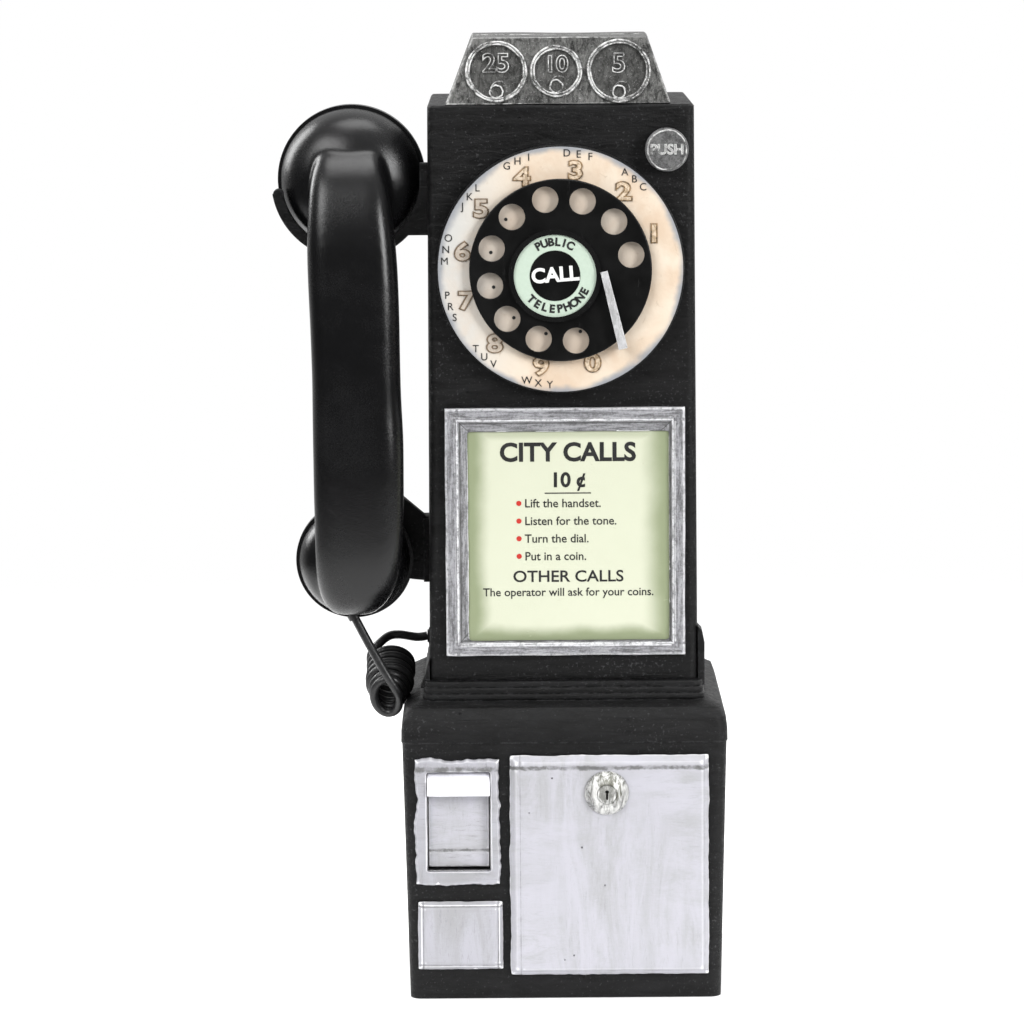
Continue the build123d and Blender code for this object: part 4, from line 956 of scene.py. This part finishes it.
def wobbly_ring(radius, thick, centre, lean, seed, flat=1.0):
    """A raised ring on a leaning face, whose radius and thickness wander like a hand-made one's."""
    build = bmesh.new()
    around, across = 120, 10
    grid = []
    for i in range(around):
        angle = 2 * math.pi * i / around
        way = Vector((math.cos(angle), 0.0, math.sin(angle)))
        wander = noise.noise(way * 1.6 + Vector((seed, 0, 0))) * 0.00028
        wander += noise.noise(way * 6.0 + Vector((0, seed, 0))) * 0.00012
        body = thick * (1.0 + 0.35 * noise.noise(way * 3.0 + Vector((0, 0, seed))))
        row = []
        for j in range(across):
            turn = 2 * math.pi * j / across
            out = way * (radius + wander + body * math.cos(turn))
            row.append(build.verts.new(out + Vector((0, -body * flat * math.sin(turn), 0))))
        grid.append(row)
    for i in range(around):
        beside = grid[(i + 1) % around]
        for j in range(across):
            k = (j + 1) % across
            face = build.faces.new((grid[i][j], grid[i][k], beside[k], beside[j]))
            face.smooth = True
    place = Matrix.Translation(centre) @ Matrix.Rotation(-lean, 4, "X")
    bmesh.ops.transform(build, matrix=place, verts=build.verts)
    bmesh.ops.recalc_face_normals(build, faces=build.faces)
    mesh = bpy.data.meshes.new("ring")
    build.to_mesh(mesh)
    build.free()
    return mesh


def add_raised_marks(material, rim_material):
    """The raised rings and amounts on the coin head, and the raised rim and word on the button."""
    low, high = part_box("coin_head")
    lean = math.atan2(FACE_BACK, FACE_UP)
    middle = (low.x + high.x) / 2

    def on_face(x, rise, proud=0.0002):
        return Vector((middle + x * MM, low.y + rise * MM * math.tan(lean) - proud, low.z + rise * MM))

    meshes, rings = [], []
    for (words, size, rise), (x, radius) in zip(AMOUNTS, RINGS):
        mesh = text_mesh(words, size, (0, 0, 0), 0.0, 0.0002, 0.00022, wide=1.05, outline=True)
        mesh.transform(Matrix.Translation(on_face(x, rise)) @ Matrix.Rotation(-lean, 4, "X"))
        meshes.append(mesh)
        at = on_face(x, RING_RISE, 0.0)
        rings.append(wobbly_ring((radius - 1.35) * MM, 0.00034, at, lean, x, 0.9))
        rings.append(wobbly_ring((radius - 0.20) * MM, 0.00042, at, lean, x + 5.0, 0.8))
        at = on_face(x, RING_RISE - radius + SMALL_RING_GAP, 0.0)
        rings.append(wobbly_ring(SMALL_RING_RADIUS, 0.00034, at, lean, x + 9.0, 0.9))
    join_piece("coin_amounts", meshes, "housing", material, "aged_silver")
    join_piece("coin_rings", rings, "housing", rim_material, "aged_silver")
    low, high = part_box("push_button")
    at = Vector(((low.x + high.x) / 2, low.y, (low.z + high.z) / 2))
    word = text_mesh("PUSH", 0.0060, at, 0.0, 0.0, 0.00022, outline=True)
    rim = wobbly_ring((high.x - low.x) / 2 - 0.0009, 0.00030, at, 0.0, 3.0, 0.8)
    join_piece("button_word", [word, rim], "button", material, "brushed_silver")


def add_vault_face():
    low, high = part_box("vault_door")
    # Lines of painted shade along the door's grooves and edges.
    lines = (
        ("Z", high.z - 0.0050, 0.0012, 1.0), ("X", low.x + 0.0043, 0.0003, 0.5),
        ("X", high.x - 0.0016, 0.0002, 0.4), ("Z", low.z + 0.0016, 0.0002, 0.4),
    )
    grooves = (
        (2, high.z - 0.0047, 0.0006, 0.0006), (0, low.x + 0.0043, 0.0005, 0.0003),
        (0, high.x - 0.0020, 0.0005, 0.0003), (2, low.z + 0.0020, 0.0005, 0.0003),
    )
    door = soft_cast("vault_door", 0.0007, 2, 0.00015, 90.0, 0.0012, 0.004, 0.75, grooves)
    silver = panel_silver("panel_vault", 0.73, lines, 0.30)
    new_piece("vault_face", door, "vault_cover", silver, "panel_silver", "vault_door")


def add_plate_face():
    low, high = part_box("access_plate")
    # Lines of painted shade along the plate's grooves and edges.
    lines = (
        ("Z", high.z - 0.0019, 0.0004, 0.8), ("X", low.x + 0.0022, 0.0003, 0.6),
        ("X", high.x - 0.0020, 0.0003, 0.6), ("Z", low.z + 0.0019, 0.0003, 0.6),
    )
    grooves = (
        (2, high.z - 0.0022, 0.0004, 0.0005), (0, low.x + 0.0022, 0.0004, 0.0005),
        (0, high.x - 0.0022, 0.0004, 0.0005), (2, low.z + 0.0022, 0.0004, 0.0005),
    )
    plate = soft_cast("access_plate", 0.0005, 2, 0.00015, 120.0, 0.0008, 0.002, 0.6, grooves)
    silver = panel_silver("panel_plate", 0.64, lines, 0.7, 0.1)
    new_piece("plate_face", plate, "housing", silver, "panel_silver", "access_plate")


def add_coin_return():
    # A line of painted shade under the hood.
    lines = (("Z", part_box("return_frame")[1].z - 0.0040, 0.0017, 1.0),)
    surround = soft_cast("return_frame", 0.0005, 2, 0.0003, 110.0, 0.0034, 0.0042, 0.6)
    silver = panel_silver("panel_return", 0.61, lines, 0.8)
    new_piece("return_surround", surround, "housing", silver, "panel_silver", "return_frame")
    hood = soft_cast("return_hood", 0.0005, 2, 0.0002, 150.0)
    silver = panel_silver("panel_hood", 1.20)
    new_piece("return_hood_cast", hood, "housing", silver, "panel_silver", "return_hood")
    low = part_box("return_flap")[0]
    # Lines of painted shade along the flap's groove and its lower edge.
    lines = (("Z", low.z + 0.0073, 0.0009, 1.0), ("Z", low.z + 0.0002, 0.0008, 0.8))
    grooves = ((2, low.z + 0.0072, 0.0005, 0.0004),)
    flap = soft_cast("return_flap", 0.0005, 1, 0.0001, 150.0, grooves=grooves)
    silver = panel_silver("panel_flap", 0.72, lines, 0.8)
    new_piece("return_flap_cast", flap, "coin_flap", silver, "panel_silver", "return_flap")


def paint_inside():
    """Everything behind the housing."""
    steel = plain_metal("plain_steel", (0.25, 0.25, 0.26), (0.62, 0.62, 0.63))
    brass = plain_metal("plain_brass", (0.38, 0.25, 0.09), (0.75, 0.57, 0.26))
    paint(
        steel, "back_screws", "coin_chutes", "coin_hopper", "relay_frame", "refund_chute", "flap_pin",
        "return_cup", "vault_tray", "coin_box", "coin_box_handle", "dial_shaft", "dial_spring",
        "button_spring", "hook_pin", "hook_bracket", "hook_spring", "receiver_capsule",
        "transmitter_capsule", "network_can",
    )
    paint(brass, "relay_vane", "dial_gear", "governor")
    paint(insulator(), "pulse_contacts", "button_contacts", "hook_contacts", "terminal_block")
    paint(coil_wrap(), "relay_coil")


def main():
    add_camera()
    add_studio()
    add_floor()
    # The lower housing and base plate wear a lighter copy of the same black enamel: painted light where
    # more light falls on them.
    enamel, lit_lower_enamel = black_enamel("black_enamel"), black_enamel("black_enamel_lit_lower", 1.5)
    paint(enamel, "upper_housing", "dial_mount", "lower_rest", "hook_fork", "back_plate")
    paint(lit_lower_enamel, "lower_housing", "base_plate")
    silver = aged_silver()
    head = soft_cast("coin_head", 0.00055, 2, 0.0010, 32.0)
    new_piece("coin_head_cast", head, "housing", silver, "aged_silver", "coin_head")
    button = brushed_silver("button_silver", (1, 1, 1), (0.035, 0.035, 0.035), (0.17, 0.17, 0.17))
    paint(button, "push_button", "button_collar")
    lock = lock_silver("lock_silver", 0.75)
    dome = soft_cast("lock_boss", 0.0004, 6, 0.0002, 200.0)
    new_piece("lock_dome", dome, "vault_cover", lock, "aged_silver", "lock_boss")
    paint(lock_silver("lock_plug_silver", 0.30), "lock_plug")
    frame_silver = mitred_silver()
    low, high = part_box("card_frame")
    frame_grooves = [
        (axis, border, 0.0004, 0.0003)
        for axis in (0, 2)
        for border in (low[axis] + FRAME_BAND, high[axis] - FRAME_BAND)
    ]
    surround = soft_cast("card_frame", 0.0006, 1, 0.0005, 70.0, grooves=frame_grooves)
    new_piece("card_surround", surround, "housing", frame_silver, "brushed_silver", "card_frame")
    paint(brushed_silver("stop_metal", (1, 1, 0.3), (0.34, 0.34, 0.34), (0.62, 0.62, 0.63)), "finger_stop")
    add_vault_face()
    add_plate_face()
    add_coin_return()
    cream, ink = dial_cream(), print_ink("print_black", (0.006, 0.006, 0.006), (0.02, 0.02, 0.02))
    paint(cream, "number_plate")
    paint(wheel_black(), "finger_wheel")
    paint(retainer_black(), "card_retainer")
    pale = print_ink("card_pale", (0.46, 0.56, 0.46), (0.54, 0.64, 0.54))
    paint(pale, "number_card")
    paint(card_green(), "instruction_card")
    rubber = rubber_black()
    paint(rubber, "handset_gland", "housing_gland", "rest_pad")
    paint_inside()
    add_cord(rubber)
    add_handset(handset_black())
    gold = numeral_paint("gold_brown", (0.07, 0.045, 0.02), (0.34, 0.22, 0.11))
    add_dial(numeral_paint("numeral_tan", (0.40, 0.29, 0.18), (0.76, 0.62, 0.47)), ink, gold)
    add_dial_card(wheel_black(), print_ink("print_white", (0.78, 0.78, 0.76), (0.86, 0.86, 0.84)), ink)
    add_instructions(ink, print_ink("print_red", (0.45, 0.02, 0.015), (0.55, 0.03, 0.02)))
    raised = rubbed_silver("raised_silver", (0.10, 0.10, 0.098), (0.70, 0.70, 0.69))
    rings = rubbed_silver("ring_silver", (0.040, 0.040, 0.038), (0.74, 0.74, 0.73))
    add_raised_marks(raised, rings)


main()
